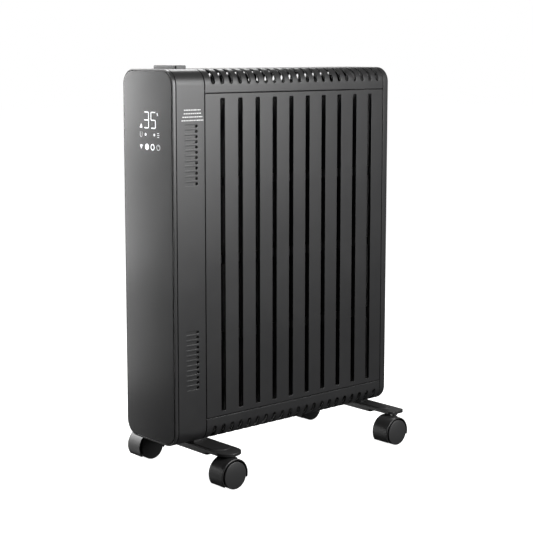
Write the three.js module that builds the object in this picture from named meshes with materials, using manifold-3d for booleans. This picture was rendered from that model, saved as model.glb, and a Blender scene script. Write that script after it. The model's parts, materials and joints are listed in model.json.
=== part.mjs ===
// Oil filled radiator heater: a slim enclosed radiator with a touch panel at one
// end, slotted covers on both sides and four hooded twin-wheel swivel casters.
//
// Millimetres, +Z up. The origin is on the floor under the middle of the heater.
// -X is the end with the touch panel, +X the rear end, -Y and +Y the two sides,
// called near (-Y) and far (+Y).

import * as THREE from 'three';
import { mergeVertices } from 'three/addons/utils/BufferGeometryUtils.js';
import Module from 'manifold-3d';

const wasm = await Module();
wasm.setup();

// ---------------------------------------------------------------- dimensions

const GAP = 0.3;                 // clearance between parts that touch
const SEAM = 0.6;                // visible shadow gap between covers

const BODY_LENGTH = 463;
const BODY_WIDTH = 126;
const BODY_BOTTOM = 63;
const BODY_TOP = 640;
const CORNER_RADIUS = 24;

const FRONT = -BODY_LENGTH / 2;
const REAR = BODY_LENGTH / 2;
const SIDE = BODY_WIDTH / 2;
const BODY_HEIGHT = BODY_TOP - BODY_BOTTOM;
const BODY_MIDDLE = (BODY_TOP + BODY_BOTTOM) / 2;

const PANEL_THICKNESS = 3.5;
const BEZEL_DEPTH = 6;
const BEZEL_RING = 2.2;
const BEZEL_LIP = 6;

const HOUSING_FRONT = FRONT + BEZEL_DEPTH + SEAM;
const HOUSING_REAR = FRONT + 60.7;
const HOUSING_WALL = 2.5;

const COVER_FRONT = HOUSING_REAR + SEAM;
const REAR_CAP_FRONT = FRONT + 448.3;
const COVER_REAR = REAR_CAP_FRONT - SEAM;
const COVER_WALL = 2;

const COVER_SEAM_TOP = 603.6;    // seam between a side cover and the top grille
const COVER_SEAM_BOTTOM = BODY_TOP + BODY_BOTTOM - COVER_SEAM_TOP;

const SLOT_COUNT = 10;
const SLOT_PITCH = 35.6;
const FIRST_SLOT = FRONT + 95.7;
const SLOT_WIDTH = 9;
const SLOT_TOP = 596;
const SLOT_BOTTOM = BODY_TOP + BODY_BOTTOM - SLOT_TOP;
const SLOT_LIP_WALL = 1.2;
const SLOT_LIP_DEPTH = 6;
const SIDE_SHEET = 1.6;
const SIDE_RETURN = 8;           // depth of the folded edge round a side cover

const GRILLE_VENT_COUNT = 2 * SLOT_COUNT + 1;
const GRILLE_VENT_PITCH = SLOT_PITCH / 2;
const GRILLE_VENT_WIDTH = 7;
const GRILLE_VENT_RISE = 22.5;   // height of a vent below the top of the grille
const GRILLE_VENT_REACH = 31;    // how far a vent runs in from the side

const HOUSING_VENT_COUNT = 12;
const HOUSING_VENT_PITCH = 7.9;
const HOUSING_VENT_HEIGHT = 4.5;
const HOUSING_VENT_START = FRONT + 21.7;
const HOUSING_VENT_END = FRONT + 46.8;
const UPPER_VENTS_BOTTOM = 466;
const LOWER_VENTS_BOTTOM = 150.5;

const RAIL_HEIGHTS = [225, 346, 467];
const RAIL_TALL = 13.5;
const RAIL_THICKNESS = 3;
const RAIL_OUTER = SIDE - SIDE_RETURN - GAP;
const UPRIGHT_WIDTH = 14;

const KEY_FRONT = FRONT + 33;
const KEY_LENGTH = 20;
const KEY_WIDTH = 57;
const KEY_TOP = 645.5;
const KEY_SKIRT = 632;
const KEY_FLANGE = 1.5;
const KEY_TRAVEL = 2.5;

const FIN_COUNT = SLOT_COUNT - 1;
const FIN_HALF_WIDTH = RAIL_OUTER - RAIL_THICKNESS - GAP;
const FIN_BOTTOM = 88;
const FIN_TOP = 598;
const FIN_SHEET = 1.6;
const FIN_CORNER = 18;
const CHANNEL_THICKNESS = 8;
const CHANNEL_WIDTH = 46;
const HEADER_RADIUS = 22;
const HEADER_BORE = 13;
const LOWER_HEADER = 122;
const UPPER_HEADER = 556;

const SHIELD_SHEET = 1.2;
const SHIELD_FRONT = HOUSING_REAR - 5;
const BOARD_SHEET = 1.6;
const STANDOFF = 18;

const STEM_X = [FRONT + 78.2, FRONT + 439.6];
const STEM_Y = 106;
const STEM_RADIUS = 4;
const FOOT_X = [FRONT + 73.5, FRONT + 442.5];
const FOOT_WIDTH = [44, 34];     // the rear foot is the narrower one
const FOOT_TIP = [119, 113];     // how far each plate reaches to the sides
const FOOT_CORNER = [21.9, 9];   // the front plate has fully round ends
const FOOT_BOTTOM = 50;
const FOOT_TOP = 55;
const FOOT_SKIRT_BOTTOM = 46;
const FOOT_SKIRT_END = [74, 62];
const FOOT_SADDLE_END = 32;
const FOOT_SCREW_Y = 22;

const TRAIL = 10;                // the axle stands this far behind the stem
const WHEEL_RADIUS = 21.5;
const WHEEL_FACETS = 20;
const HOOD_RADIUS = 26;
const HOOD_INNER = 24.2;
const HOOD_HALF_WIDTH = 17;
const WEB_HALF_WIDTH = 5.5;
const AXLE_RADIUS = 2.5;
const AXLE_END = 15.2;

// ---------------------------------------------------------------- materials

function finish(color, roughness, metalness) {
  return new THREE.MeshStandardMaterial({ color, roughness, metalness });
}

const satinBlack = () => finish(0x1b1b1d, 0.42, 0.25);
const panelBlack = () => finish(0x101012, 0.18, 0.0);
const bezelBlack = () => finish(0x232326, 0.35, 0.3);
const fixtureBlack = () => finish(0x141415, 0.5, 0.1);
const finBlack = () => finish(0x0d0d0e, 0.65, 0.2);
const casterBlack = () => finish(0x1a1a1b, 0.45, 0.0);
const plainSteel = () => finish(0x8d8f92, 0.35, 0.9);
const boardGreen = () => finish(0x1d4a30, 0.5, 0.0);
const whiteNylon = () => finish(0xd8d8d2, 0.5, 0.0);
const brass = () => finish(0xb08d48, 0.35, 0.9);

// ---------------------------------------------------------------- solid tools

// A closed manifold solid from any closed three.js geometry. Triangles that
// collapse to a line where a lathe profile meets its axis are dropped.
function toSolid(geometry) {
  const bare = geometry.clone();
  bare.deleteAttribute('normal');
  bare.deleteAttribute('uv');
  const merged = mergeVertices(bare, 1e-4);
  const index = merged.index.array;
  const triangles = [];
  for (let i = 0; i < index.length; i += 3) {
    const [a, b, c] = [index[i], index[i + 1], index[i + 2]];
    if (a !== b && b !== c && c !== a) {
      triangles.push(a, b, c);
    }
  }
  return new wasm.Manifold(new wasm.Mesh({
    numProp: 3,
    vertProperties: Float32Array.from(merged.attributes.position.array),
    triVerts: Uint32Array.from(triangles),
  }));
}

function toGeometry(solid) {
  const mesh = solid.getMesh();
  const geometry = new THREE.BufferGeometry();
  geometry.setAttribute('position', new THREE.BufferAttribute(mesh.vertProperties, 3));
  geometry.setIndex(new THREE.BufferAttribute(mesh.triVerts, 1));
  geometry.computeVertexNormals();
  return geometry;
}

function joinAll(solids) {
  return solids.reduce((whole, piece) => whole.add(piece));
}

function cutAll(solid, cutters) {
  return cutters.reduce((rest, cutter) => rest.subtract(cutter), solid);
}

function box(x0, x1, y0, y1, z0, z1) {
  const geometry = new THREE.BoxGeometry(x1 - x0, y1 - y0, z1 - z0);
  geometry.translate((x0 + x1) / 2, (y0 + y1) / 2, (z0 + z1) / 2);
  return toSolid(geometry);
}

const X = new THREE.Vector3(1, 0, 0);
const Y = new THREE.Vector3(0, 1, 0);
const Z = new THREE.Vector3(0, 0, 1);
const SECTION_YZ = new THREE.Matrix4().makeBasis(Y, Z, X);
const SECTION_XZ = new THREE.Matrix4().makeBasis(X, Z, Y.clone().negate());

function extrude(shape, depth, segments) {
  return new THREE.ExtrudeGeometry(shape, { depth, bevelEnabled: false, curveSegments: segments });
}

// Prisms of a flat outline: along X the outline is (y, z), along Y it is (x, z).
function prismX(shape, x0, x1, segments) {
  return toSolid(extrude(shape, x1 - x0, segments).applyMatrix4(SECTION_YZ).translate(x0, 0, 0));
}

function prismY(shape, y0, y1, segments) {
  return toSolid(extrude(shape, y1 - y0, segments).applyMatrix4(SECTION_XZ).translate(0, y1, 0));
}

function prismZ(shape, z0, z1, segments) {
  return toSolid(extrude(shape, z1 - z0, segments).translate(0, 0, z0));
}

// A round bar along one axis, its flats facing the axis directions.
function bar(radius, axis, from, to, center, segments = 16) {
  const geometry = new THREE.CylinderGeometry(radius, radius, to - from, segments);
  geometry.rotateY(Math.PI / segments);
  geometry.translate(0, (from + to) / 2, 0);
  if (axis === 'z') {
    geometry.rotateX(Math.PI / 2);
    geometry.translate(center[0], center[1], 0);
  } else if (axis === 'x') {
    geometry.rotateZ(-Math.PI / 2);
    geometry.translate(0, center[0], center[1]);
  } else {
    geometry.translate(center[0], 0, center[1]);
  }
  return toSolid(geometry);
}

// A rectangle with round corners, centred on (cx, cy).
function roundedRect(width, height, radius, cx = 0, cy = 0) {
  const left = cx - width / 2;
  const right = cx + width / 2;
  const low = cy - height / 2;
  const high = cy + height / 2;
  const shape = new THREE.Shape();
  shape.absarc(right - radius, high - radius, radius, 0, Math.PI / 2);
  shape.absarc(left + radius, high - radius, radius, Math.PI / 2, Math.PI);
  shape.absarc(left + radius, low + radius, radius, Math.PI, 1.5 * Math.PI);
  shape.absarc(right - radius, low + radius, radius, 1.5 * Math.PI, 2 * Math.PI);
  return shape;
}

// The body's cross-section, drawn in by the given amount.
function bodySection(inset) {
  const radius = CORNER_RADIUS - inset;
  return roundedRect(BODY_WIDTH - 2 * inset, BODY_HEIGHT - 2 * inset, radius, 0, BODY_MIDDLE);
}

// Steps in a curve: three.js doubles these numbers on an arc.
const CORNER_SEGMENTS = 2;
const SLOT_END_SEGMENTS = 1;

// A stretch of the body's outer wall, open at both ends.
function bodyTube(x0, x1, wall) {
  const outer = prismX(bodySection(0), x0, x1, CORNER_SEGMENTS);
  return outer.subtract(prismX(bodySection(wall), x0 - 1, x1 + 1, CORNER_SEGMENTS));
}

const model = new THREE.Group();

function addPart(name, solid, material) {
  const mesh = new THREE.Mesh(toGeometry(solid), material);
  mesh.name = name;
  model.add(mesh);
  return mesh;
}

// ---------------------------------------------------------------- front end

function frontPanel() {
  const inset = BEZEL_RING + SEAM;
  return prismX(bodySection(inset), FRONT, FRONT + PANEL_THICKNESS, CORNER_SEGMENTS);
}

// The trim ring round the panel, with a lip behind the panel's edge.
function panelBezel() {
  const rear = FRONT + BEZEL_DEPTH;
  const lipFront = FRONT + PANEL_THICKNESS + GAP;
  const ring = bodyTube(FRONT + 0.5, rear, BEZEL_RING);
  const lip = bodyTube(lipFront, rear, BEZEL_RING + BEZEL_LIP);
  return ring.add(lip);
}

function displayBoard() {
  const back = FRONT + PANEL_THICKNESS + GAP;
  return box(back, back + BOARD_SHEET, -42, 32, 505, 592);
}

// One row of narrow air slots through both side walls of the housing.
function housingVents(bottom) {
  const cutters = [];
  for (let i = 0; i < HOUSING_VENT_COUNT; i += 1) {
    const low = bottom + i * HOUSING_VENT_PITCH;
    const high = low + HOUSING_VENT_HEIGHT;
    cutters.push(box(HOUSING_VENT_START, HOUSING_VENT_END, -SIDE - 1, SIDE + 1, low, high));
  }
  return cutters;
}

const GLAND_X = FRONT + 33;
const GLAND_RADIUS = 7.7;

function controlHousing() {
  const shell = bodyTube(HOUSING_FRONT, HOUSING_REAR, HOUSING_WALL);
  const halfKey = KEY_WIDTH / 2 + GAP;
  const keyRear = KEY_FRONT + KEY_LENGTH;
  const keyHole = box(KEY_FRONT - GAP, keyRear + GAP, -halfKey, halfKey, KEY_SKIRT, BODY_TOP + 1);
  const glandHole = bar(GLAND_RADIUS + GAP, 'z', BODY_BOTTOM - 1, BODY_BOTTOM + 5, [GLAND_X, 0]);
  const vents = [...housingVents(UPPER_VENTS_BOTTOM), ...housingVents(LOWER_VENTS_BOTTOM)];
  return cutAll(shell, [keyHole, glandHole, ...vents]);
}

// A push key with a skirt through the housing and a flange that stops it coming out.
function powerKey() {
  const half = KEY_WIDTH / 2;
  const rear = KEY_FRONT + KEY_LENGTH;
  const flangeTop = BODY_TOP - HOUSING_WALL - GAP;
  const top = new THREE.ExtrudeGeometry(roundedRect(KEY_LENGTH - 2, KEY_WIDTH - 2, 2), {
    depth: KEY_TOP - KEY_SKIRT - 1,
    bevelSize: 1,
    bevelThickness: 1,
    bevelSegments: 1,
    curveSegments: 3,
  });
  top.translate((KEY_FRONT + rear) / 2, 0, KEY_SKIRT);
  const flange = box(
    KEY_FRONT - KEY_FLANGE, rear + KEY_FLANGE,
    -half - KEY_FLANGE, half + KEY_FLANGE, KEY_SKIRT, flangeTop,
  );
  const below = box(KEY_FRONT - 9, rear + 9, -half - 9, half + 9, KEY_SKIRT - 9, KEY_SKIRT);
  return toSolid(top).add(flange).subtract(below);
}

// The switch under the key, on a bracket that spans the housing.
function keySwitch() {
  const inside = SIDE - HOUSING_WALL - GAP;
  const switchTop = KEY_SKIRT - KEY_TRAVEL - GAP;
  const bracket = box(KEY_FRONT, KEY_FRONT + KEY_LENGTH, -inside, inside, 606, 608);
  const body = box(KEY_FRONT + 3, KEY_FRONT + 17, -12, 12, 608, switchTop - 3);
  const plunger = bar(2.5, 'z', 610, switchTop, [KEY_FRONT + 10, 0], 8);
  return joinAll([bracket, body, plunger]);
}

// A sheet between the electronics and the hot radiator, with pegs for the board.
function heatShield() {
  const sheet = prismX(
    bodySection(HOUSING_WALL + GAP), SHIELD_FRONT, SHIELD_FRONT + SHIELD_SHEET, CORNER_SEGMENTS,
  );
  const wireHole = box(SHIELD_FRONT - 1, SHIELD_FRONT + 9, -9, 9, 112, 132);
  const pegs = [];
  for (const y of [-42, 42]) {
    for (const z of [310, 490]) {
      pegs.push(bar(3, 'x', SHIELD_FRONT - STANDOFF, SHIELD_FRONT + 0.5, [y, z], 8));
    }
  }
  return joinAll([sheet.subtract(wireHole), ...pegs]);
}

const BOARD_REAR = SHIELD_FRONT - STANDOFF - GAP;
const BOARD_FRONT = BOARD_REAR - BOARD_SHEET;

const powerBoard = () => box(BOARD_FRONT, BOARD_REAR, -48, 48, 300, 500);

function boardBox(depth, y0, y1, z0, z1) {
  return box(BOARD_FRONT - GAP - depth, BOARD_FRONT - GAP, y0, y1, z0, z1);
}

const terminalBlock = () => {
  const base = box(SHIELD_FRONT - GAP - 14, SHIELD_FRONT - GAP, -24, 24, 150, 168);
  const slots = [-18, -6, 6, 18].map((y) => (
    box(SHIELD_FRONT - 20, SHIELD_FRONT - 9, y - 3, y + 3, 154, 170)
  ));
  return cutAll(base, slots);
};

// A closed tilt switch standing on the floor of the housing.
function tipOverSwitch() {
  const floor = BODY_BOTTOM + HOUSING_WALL + GAP;
  const foot = box(FRONT + 12, FRONT + 42, 12, 38, floor, floor + 3);
  const can = bar(11, 'z', floor + 2, floor + 28, [FRONT + 27, 25], 12);
  return foot.add(can);
}

function temperatureSensor() {
  const wall = -SIDE + HOUSING_WALL + GAP;
  const clip = box(FRONT + 30, FRONT + 44, wall, wall + 2, 128, 146);
  const bead = box(FRONT + 34, FRONT + 40, wall + 2, wall + 9, 132, 142);
  return clip.add(bead);
}

// The cable entry under the housing: a snap-in bush, open right through.
function cordGland() {
  const bore = 3.8;
  const outside = BODY_BOTTOM - GAP;
  const inside = BODY_BOTTOM + HOUSING_WALL + GAP;
  const profile = [
    [bore, outside - 3], [GLAND_RADIUS + 3, outside - 3], [GLAND_RADIUS + 3, outside],
    [GLAND_RADIUS, outside], [GLAND_RADIUS, inside], [GLAND_RADIUS + 1.5, inside],
    [GLAND_RADIUS - 1, inside + 5], [bore, inside + 5], [bore, outside - 3],
  ];
  const geometry = new THREE.LatheGeometry(profile.map(([r, h]) => new THREE.Vector2(r, h)), 16);
  geometry.rotateX(Math.PI / 2);
  geometry.translate(GLAND_X, 0, 0);
  return toSolid(geometry);
}

addPart('front_panel', frontPanel(), panelBlack());
addPart('panel_bezel', panelBezel(), bezelBlack());
addPart('control_housing', controlHousing(), satinBlack());
addPart('power_key', powerKey(), casterBlack());
addPart('key_switch', keySwitch(), fixtureBlack());
addPart('display_board', displayBoard(), boardGreen());
addPart('heat_shield', heatShield(), plainSteel());
addPart('power_board', powerBoard(), boardGreen());
addPart('heater_relay', boardBox(16, -34, -12, 340, 372), fixtureBlack());
addPart('mains_transformer', boardBox(20, 6, 40, 420, 456), whiteNylon());
addPart('terminal_block', terminalBlock(), whiteNylon());
addPart('tip_over_switch', tipOverSwitch(), fixtureBlack());
addPart('temperature_sensor', temperatureSensor(), whiteNylon());
addPart('cord_gland', cordGland(), casterBlack());

// ---------------------------------------------------------------- covers

const slotCenters = Array.from({ length: SLOT_COUNT }, (_, i) => FIRST_SLOT + i * SLOT_PITCH);

// The outline of a tall slot with round ends, in (x, z).
function slotOutline(center, width, low, high) {
  return roundedRect(width, high - low, width / 2 - 0.01, center, (low + high) / 2);
}

// A folded sheet cover with tall slots, each with a lip turned inwards.
// Built for the near side, from y = -SIDE inwards.
function sidePanel() {
  const [z0, z1] = [COVER_SEAM_BOTTOM + SEAM / 2, COVER_SEAM_TOP - SEAM / 2];
  const block = box(COVER_FRONT, COVER_REAR, -SIDE, -SIDE + SIDE_RETURN, z0, z1);
  const hollow = box(
    COVER_FRONT + SIDE_SHEET, COVER_REAR - SIDE_SHEET,
    -SIDE + SIDE_SHEET, -SIDE + SIDE_RETURN + 1, z0 + SIDE_SHEET, z1 - SIDE_SHEET,
  );
  const lipWidth = SLOT_WIDTH + 2 * SLOT_LIP_WALL;
  const lips = slotCenters.map((x) => prismY(
    slotOutline(x, lipWidth, SLOT_BOTTOM - SLOT_LIP_WALL, SLOT_TOP + SLOT_LIP_WALL),
    -SIDE + SIDE_SHEET / 2, -SIDE + SLOT_LIP_DEPTH, SLOT_END_SEGMENTS,
  ));
  const slots = slotCenters.map((x) => prismY(
    slotOutline(x, SLOT_WIDTH, SLOT_BOTTOM, SLOT_TOP),
    -SIDE - 1, -SIDE + SIDE_RETURN, SLOT_END_SEGMENTS,
  ));
  return cutAll(joinAll([block.subtract(hollow), ...lips]), slots);
}

// A ladder of two uprights and three rails behind a side cover.
function supportFrame() {
  const inner = -RAIL_OUTER + RAIL_THICKNESS;
  const front = COVER_FRONT + 3;
  const rear = COVER_REAR - 3;
  const low = COVER_SEAM_BOTTOM + 3;
  const high = COVER_SEAM_TOP - 3;
  const uprights = [front, rear - UPRIGHT_WIDTH].map((x) => (
    box(x, x + UPRIGHT_WIDTH, -RAIL_OUTER, inner, low, high)
  ));
  const rails = RAIL_HEIGHTS.map((z) => (
    box(front + 1, rear - 1, -RAIL_OUTER, inner, z - RAIL_TALL / 2, z + RAIL_TALL / 2)
  ));
  return joinAll([...uprights, ...rails]);
}

// Vents for the top edge of the near side: each rises up the side from a bevelled
// lower end, turns over the round edge and runs in across the top.
function grilleVents() {
  const low = BODY_TOP - GRILLE_VENT_RISE;
  const half = GRILLE_VENT_WIDTH / 2;
  const vents = [];
  for (let i = 0; i < GRILLE_VENT_COUNT; i += 1) {
    const x = FIRST_SLOT + (i - 1) * GRILLE_VENT_PITCH;
    const outline = new THREE.Shape([
      new THREE.Vector2(x - half, BODY_TOP + 5),
      new THREE.Vector2(x - half, low + half),
      new THREE.Vector2(x - half / 2, low),
      new THREE.Vector2(x + half / 2, low),
      new THREE.Vector2(x + half, low + half),
      new THREE.Vector2(x + half, BODY_TOP + 5),
    ]);
    vents.push(prismY(outline, -SIDE - 5, -SIDE + GRILLE_VENT_REACH, 1));
  }
  return vents;
}

// A channel over the top edges of the side covers, vented along both edges.
function topGrille() {
  const tube = bodyTube(COVER_FRONT, COVER_REAR, COVER_WALL);
  const low = COVER_SEAM_TOP + SEAM / 2;
  const channel = tube.intersect(box(FRONT, REAR, -SIDE - 1, SIDE + 1, low, BODY_TOP + 1));
  const near = grilleVents();
  const far = near.map((vent) => vent.mirror([0, 1, 0]));
  return cutAll(channel, [...near, ...far]);
}

// The same channel turned over, with clearance holes for the foot screws.
function bottomGrille(top) {
  const channel = top.mirror([0, 0, 1]).translate([0, 0, BODY_TOP + BODY_BOTTOM]);
  const holes = footScrewPlaces().map(([x, y]) => (
    bar(FOOT_SCREW_RADIUS + GAP, 'z', BODY_BOTTOM - 1, BODY_BOTTOM + COVER_WALL + 1, [x, y], 8)
  ));
  return cutAll(channel, holes);
}

// The closed rear end, its back edge rounded over.
function rearCap() {
  const round = 5;
  const outer = new THREE.ExtrudeGeometry(bodySection(round), {
    depth: REAR - REAR_CAP_FRONT - round,
    bevelSize: round,
    bevelThickness: round,
    bevelSegments: 3,
    curveSegments: CORNER_SEGMENTS,
  });
  outer.applyMatrix4(SECTION_YZ).translate(REAR_CAP_FRONT, 0, 0);
  const front = box(FRONT, REAR_CAP_FRONT, -SIDE - 9, SIDE + 9, 0, BODY_TOP + 9);
  const hollow = prismX(
    bodySection(HOUSING_WALL), REAR_CAP_FRONT - 1, REAR - round, CORNER_SEGMENTS,
  );
  return toSolid(outer).subtract(front).subtract(hollow);
}

const FOOT_SCREW_RADIUS = 2.5;

function footScrewPlaces() {
  return FOOT_X.flatMap((x) => [-FOOT_SCREW_Y, FOOT_SCREW_Y].map((y) => [x, y]));
}

const nearPanel = sidePanel();
const nearFrame = supportFrame();
const grille = topGrille();

addPart('side_panel_near', nearPanel, satinBlack());
addPart('side_panel_far', nearPanel.mirror([0, 1, 0]), satinBlack());
addPart('support_frame_near', nearFrame, fixtureBlack());
addPart('support_frame_far', nearFrame.mirror([0, 1, 0]), fixtureBlack());
addPart('top_grille', grille, satinBlack());
addPart('bottom_grille', bottomGrille(grille), satinBlack());
addPart('rear_cap', rearCap(), satinBlack());

// ---------------------------------------------------------------- radiator

// The sheet's outline in (y, z), its corners cut off.
function finOutline() {
  const [w, c] = [FIN_HALF_WIDTH, FIN_CORNER];
  const corners = [
    [-w, FIN_BOTTOM + c], [-w + c, FIN_BOTTOM], [w - c, FIN_BOTTOM], [w, FIN_BOTTOM + c],
    [w, FIN_TOP - c], [w - c, FIN_TOP], [-w + c, FIN_TOP], [-w, FIN_TOP - c],
  ];
  return new THREE.Shape(corners.map(([y, z]) => new THREE.Vector2(y, z)));
}

// One pressed steel element: a thin fin with a thick oil channel up the middle and
// a header boss at each end. The headers of the end elements are closed outwards.
function radiatorFin(x, upperClosed, lowerClosed) {
  const half = SLOT_PITCH / 2 - GAP / 2;
  const sheet = finOutline();
  const fin = prismX(sheet, x - FIN_SHEET / 2, x + FIN_SHEET / 2, 1);
  const channel = box(
    x - CHANNEL_THICKNESS / 2, x + CHANNEL_THICKNESS / 2,
    -CHANNEL_WIDTH / 2, CHANNEL_WIDTH / 2, LOWER_HEADER, UPPER_HEADER,
  );
  const bosses = [LOWER_HEADER, UPPER_HEADER].map((z) => (
    bar(HEADER_RADIUS, 'x', x - half, x + half, [0, z], 10)
  ));
  const upperStart = upperClosed ? x - half + 4 : x - half - 1;
  const lowerEnd = lowerClosed ? x + half - 4 : x + half + 1;
  const bores = [
    bar(HEADER_BORE, 'x', upperStart, x + half + 1, [0, UPPER_HEADER], 8),
    bar(HEADER_BORE, 'x', x - half - 1, lowerEnd, [0, LOWER_HEADER], 8),
  ];
  return cutAll(joinAll([fin, channel, ...bosses]), bores);
}

const finCenters = slotCenters.slice(0, FIN_COUNT).map((x) => x + SLOT_PITCH / 2);
const HEADER_FRONT = finCenters[0] - SLOT_PITCH / 2;
const HEADER_REAR = finCenters[FIN_COUNT - 1] + SLOT_PITCH / 2;

// A sheathed rod along the lower header, its flange closing the header's mouth and
// two terminal pins reaching through the heat shield's opening.
function heatingElement() {
  const mouth = HEADER_FRONT - GAP;
  const rod = bar(8, 'x', mouth - 1, HEADER_REAR - 30, [0, LOWER_HEADER], 10);
  const flange = bar(HEADER_RADIUS, 'x', mouth - 5, mouth, [0, LOWER_HEADER], 12);
  const pins = [-5, 5].map((y) => (
    bar(1.5, 'x', SHIELD_FRONT - 6, mouth - 4, [y, LOWER_HEADER], 8)
  ));
  return joinAll([rod, flange, ...pins]);
}

function thermalCutout() {
  const face = finCenters[0] - CHANNEL_THICKNESS / 2 - GAP;
  const can = bar(8, 'x', face - 9, face, [0, 210], 12);
  const lugs = box(face - 3, face - 1, -14, 14, 206, 214);
  return can.add(lugs);
}

// A hexagon-headed plug in the rear mouth of the upper header.
function oilFillerPlug() {
  const mouth = HEADER_REAR + GAP;
  const head = bar(17, 'x', mouth, mouth + 9, [0, UPPER_HEADER], 6);
  const spigot = bar(HEADER_BORE - 1.5, 'x', mouth - 14, mouth + 1, [0, UPPER_HEADER], 8);
  return head.add(spigot);
}

finCenters.forEach((x, i) => {
  const fin = radiatorFin(x, i === 0, i === FIN_COUNT - 1);
  addPart(`radiator_fin_${i + 1}`, fin, finBlack());
});
addPart('heating_element', heatingElement(), plainSteel());
addPart('thermal_cutout', thermalCutout(), brass());
addPart('oil_filler_plug', oilFillerPlug(), plainSteel());

// ---------------------------------------------------------------- feet

// A plate across the heater with rounded ends: a saddle raises the middle to the
// underside and a skirt is turned down under the middle.
function footPlate(x, stemX, width, tip, corner, skirtEnd) {
  const half = width / 2;
  const outline = roundedRect(width, 2 * tip, corner, x, 0);
  const plate = prismZ(outline, FOOT_BOTTOM, FOOT_TOP, 4);
  const saddle = box(
    x - half + 6, x + half - 6, -FOOT_SADDLE_END, FOOT_SADDLE_END,
    FOOT_TOP - 1, BODY_BOTTOM - GAP,
  );
  const skirt = box(
    x - half, x + half, -skirtEnd, skirtEnd, FOOT_SKIRT_BOTTOM, FOOT_BOTTOM + 1,
  );
  const skirtHollow = box(
    x - half + 3, x + half - 3, -skirtEnd + 3, skirtEnd - 3,
    FOOT_SKIRT_BOTTOM - 1, FOOT_BOTTOM,
  );
  const sockets = [-STEM_Y, STEM_Y].map((y) => (
    bar(STEM_RADIUS + GAP, 'z', FOOT_BOTTOM - 1, FOOT_TOP - 1.2, [stemX, y], 12)
  ));
  const screwHoles = [-FOOT_SCREW_Y, FOOT_SCREW_Y].map((y) => (
    bar(FOOT_SCREW_RADIUS + GAP, 'z', FOOT_BOTTOM - 1, BODY_BOTTOM + 1, [x, y], 8)
  ));
  return cutAll(joinAll([plate, saddle, skirt]), [skirtHollow, ...sockets, ...screwHoles]);
}

function footScrew(x, y) {
  const headTop = FOOT_BOTTOM - GAP;
  const head = bar(6, 'z', headTop - 3.5, headTop, [x, y], 12);
  const shank = bar(FOOT_SCREW_RADIUS, 'z', headTop - 1, BODY_BOTTOM + 9, [x, y], 8);
  return head.add(shank);
}

const ENDS = ['front', 'rear'];
const SIDES = ['near', 'far'];

ENDS.forEach((end, i) => {
  const plate = footPlate(
    FOOT_X[i], STEM_X[i], FOOT_WIDTH[i], FOOT_TIP[i], FOOT_CORNER[i], FOOT_SKIRT_END[i],
  );
  addPart(`${end}_foot_plate`, plate, satinBlack());
});
footScrewPlaces().forEach(([x, y], i) => {
  const name = `foot_screw_${ENDS[Math.floor(i / 2)]}_${SIDES[i % 2]}`;
  addPart(name, footScrew(x, y), plainSteel());
});

// ---------------------------------------------------------------- casters

// Caster parts are built about the axle's middle: x towards the stem, z up.

// The fixed pin that the hood swivels on, with a shoulder under the foot plate.
function casterStem() {
  const top = FOOT_TOP - 1.2 - GAP - WHEEL_RADIUS;
  const shoulder = FOOT_BOTTOM - GAP - WHEEL_RADIUS;
  const pin = bar(STEM_RADIUS, 'z', 5, top, [TRAIL, 0]);
  return pin.add(bar(STEM_RADIUS + 2, 'z', shoulder - 2, shoulder, [TRAIL, 0]));
}

// Half a drum over both wheels, with a web between them for the axle and the stem.
function casterHood() {
  const noseDrop = -15;          // the side away from the stem comes lowest
  const heelDrop = -7;
  const arc = (radius, drop) => Math.asin(drop / radius);
  const shell = new THREE.Shape();
  shell.absarc(0, 0, HOOD_RADIUS, arc(HOOD_RADIUS, heelDrop), Math.PI - arc(HOOD_RADIUS, noseDrop));
  shell.absarc(0, 0, HOOD_INNER, Math.PI - arc(HOOD_INNER, noseDrop), arc(HOOD_INNER, heelDrop), true);
  const drum = prismY(shell, -HOOD_HALF_WIDTH, HOOD_HALF_WIDTH, 9);
  const web = new THREE.Shape();
  const webRadius = HOOD_INNER + 1;
  web.absarc(0, 0, webRadius, arc(webRadius, heelDrop), Math.PI - arc(webRadius, noseDrop));
  const block = prismY(web, -WEB_HALF_WIDTH, WEB_HALF_WIDTH, 9);
  const collar = bar(STEM_RADIUS + 2.5, 'z', 12, 23, [TRAIL, 0]);
  const socket = bar(STEM_RADIUS + GAP, 'z', 5 - GAP, 40, [TRAIL, 0]);
  const axleHole = bar(AXLE_RADIUS + GAP, 'y', -40, 40, [0, 0]);
  return cutAll(joinAll([drum, block, collar]), [socket, axleHole]);
}

const casterAxle = () => bar(AXLE_RADIUS, 'y', -AXLE_END, AXLE_END, [0, 0], 12);

// A wheel with a domed outer face, built for the +Y side. It stands on a flat of
// its tread, so the tread's corners lie just outside the wheel's true radius.
function casterWheel() {
  const grow = 1 / Math.cos(Math.PI / WHEEL_FACETS);
  const inner = WEB_HALF_WIDTH + 1;
  const profile = [
    [0, 19.6], [12, 19.2], [19.6, 18.2], [WHEEL_RADIUS, 16.6], [WHEEL_RADIUS, inner],
    [AXLE_RADIUS + GAP, inner], [AXLE_RADIUS + GAP, AXLE_END + GAP], [0, AXLE_END + GAP],
  ].reverse();
  const points = profile.map(([r, y]) => new THREE.Vector2(r * grow, y));
  const geometry = new THREE.LatheGeometry(points, WHEEL_FACETS);
  geometry.rotateY(Math.PI / WHEEL_FACETS);
  return toSolid(geometry);
}

const stem = casterStem();
const hood = casterHood();
const axle = casterAxle();
const farWheel = casterWheel();
const nearWheel = farWheel.mirror([0, 1, 0]);

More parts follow.
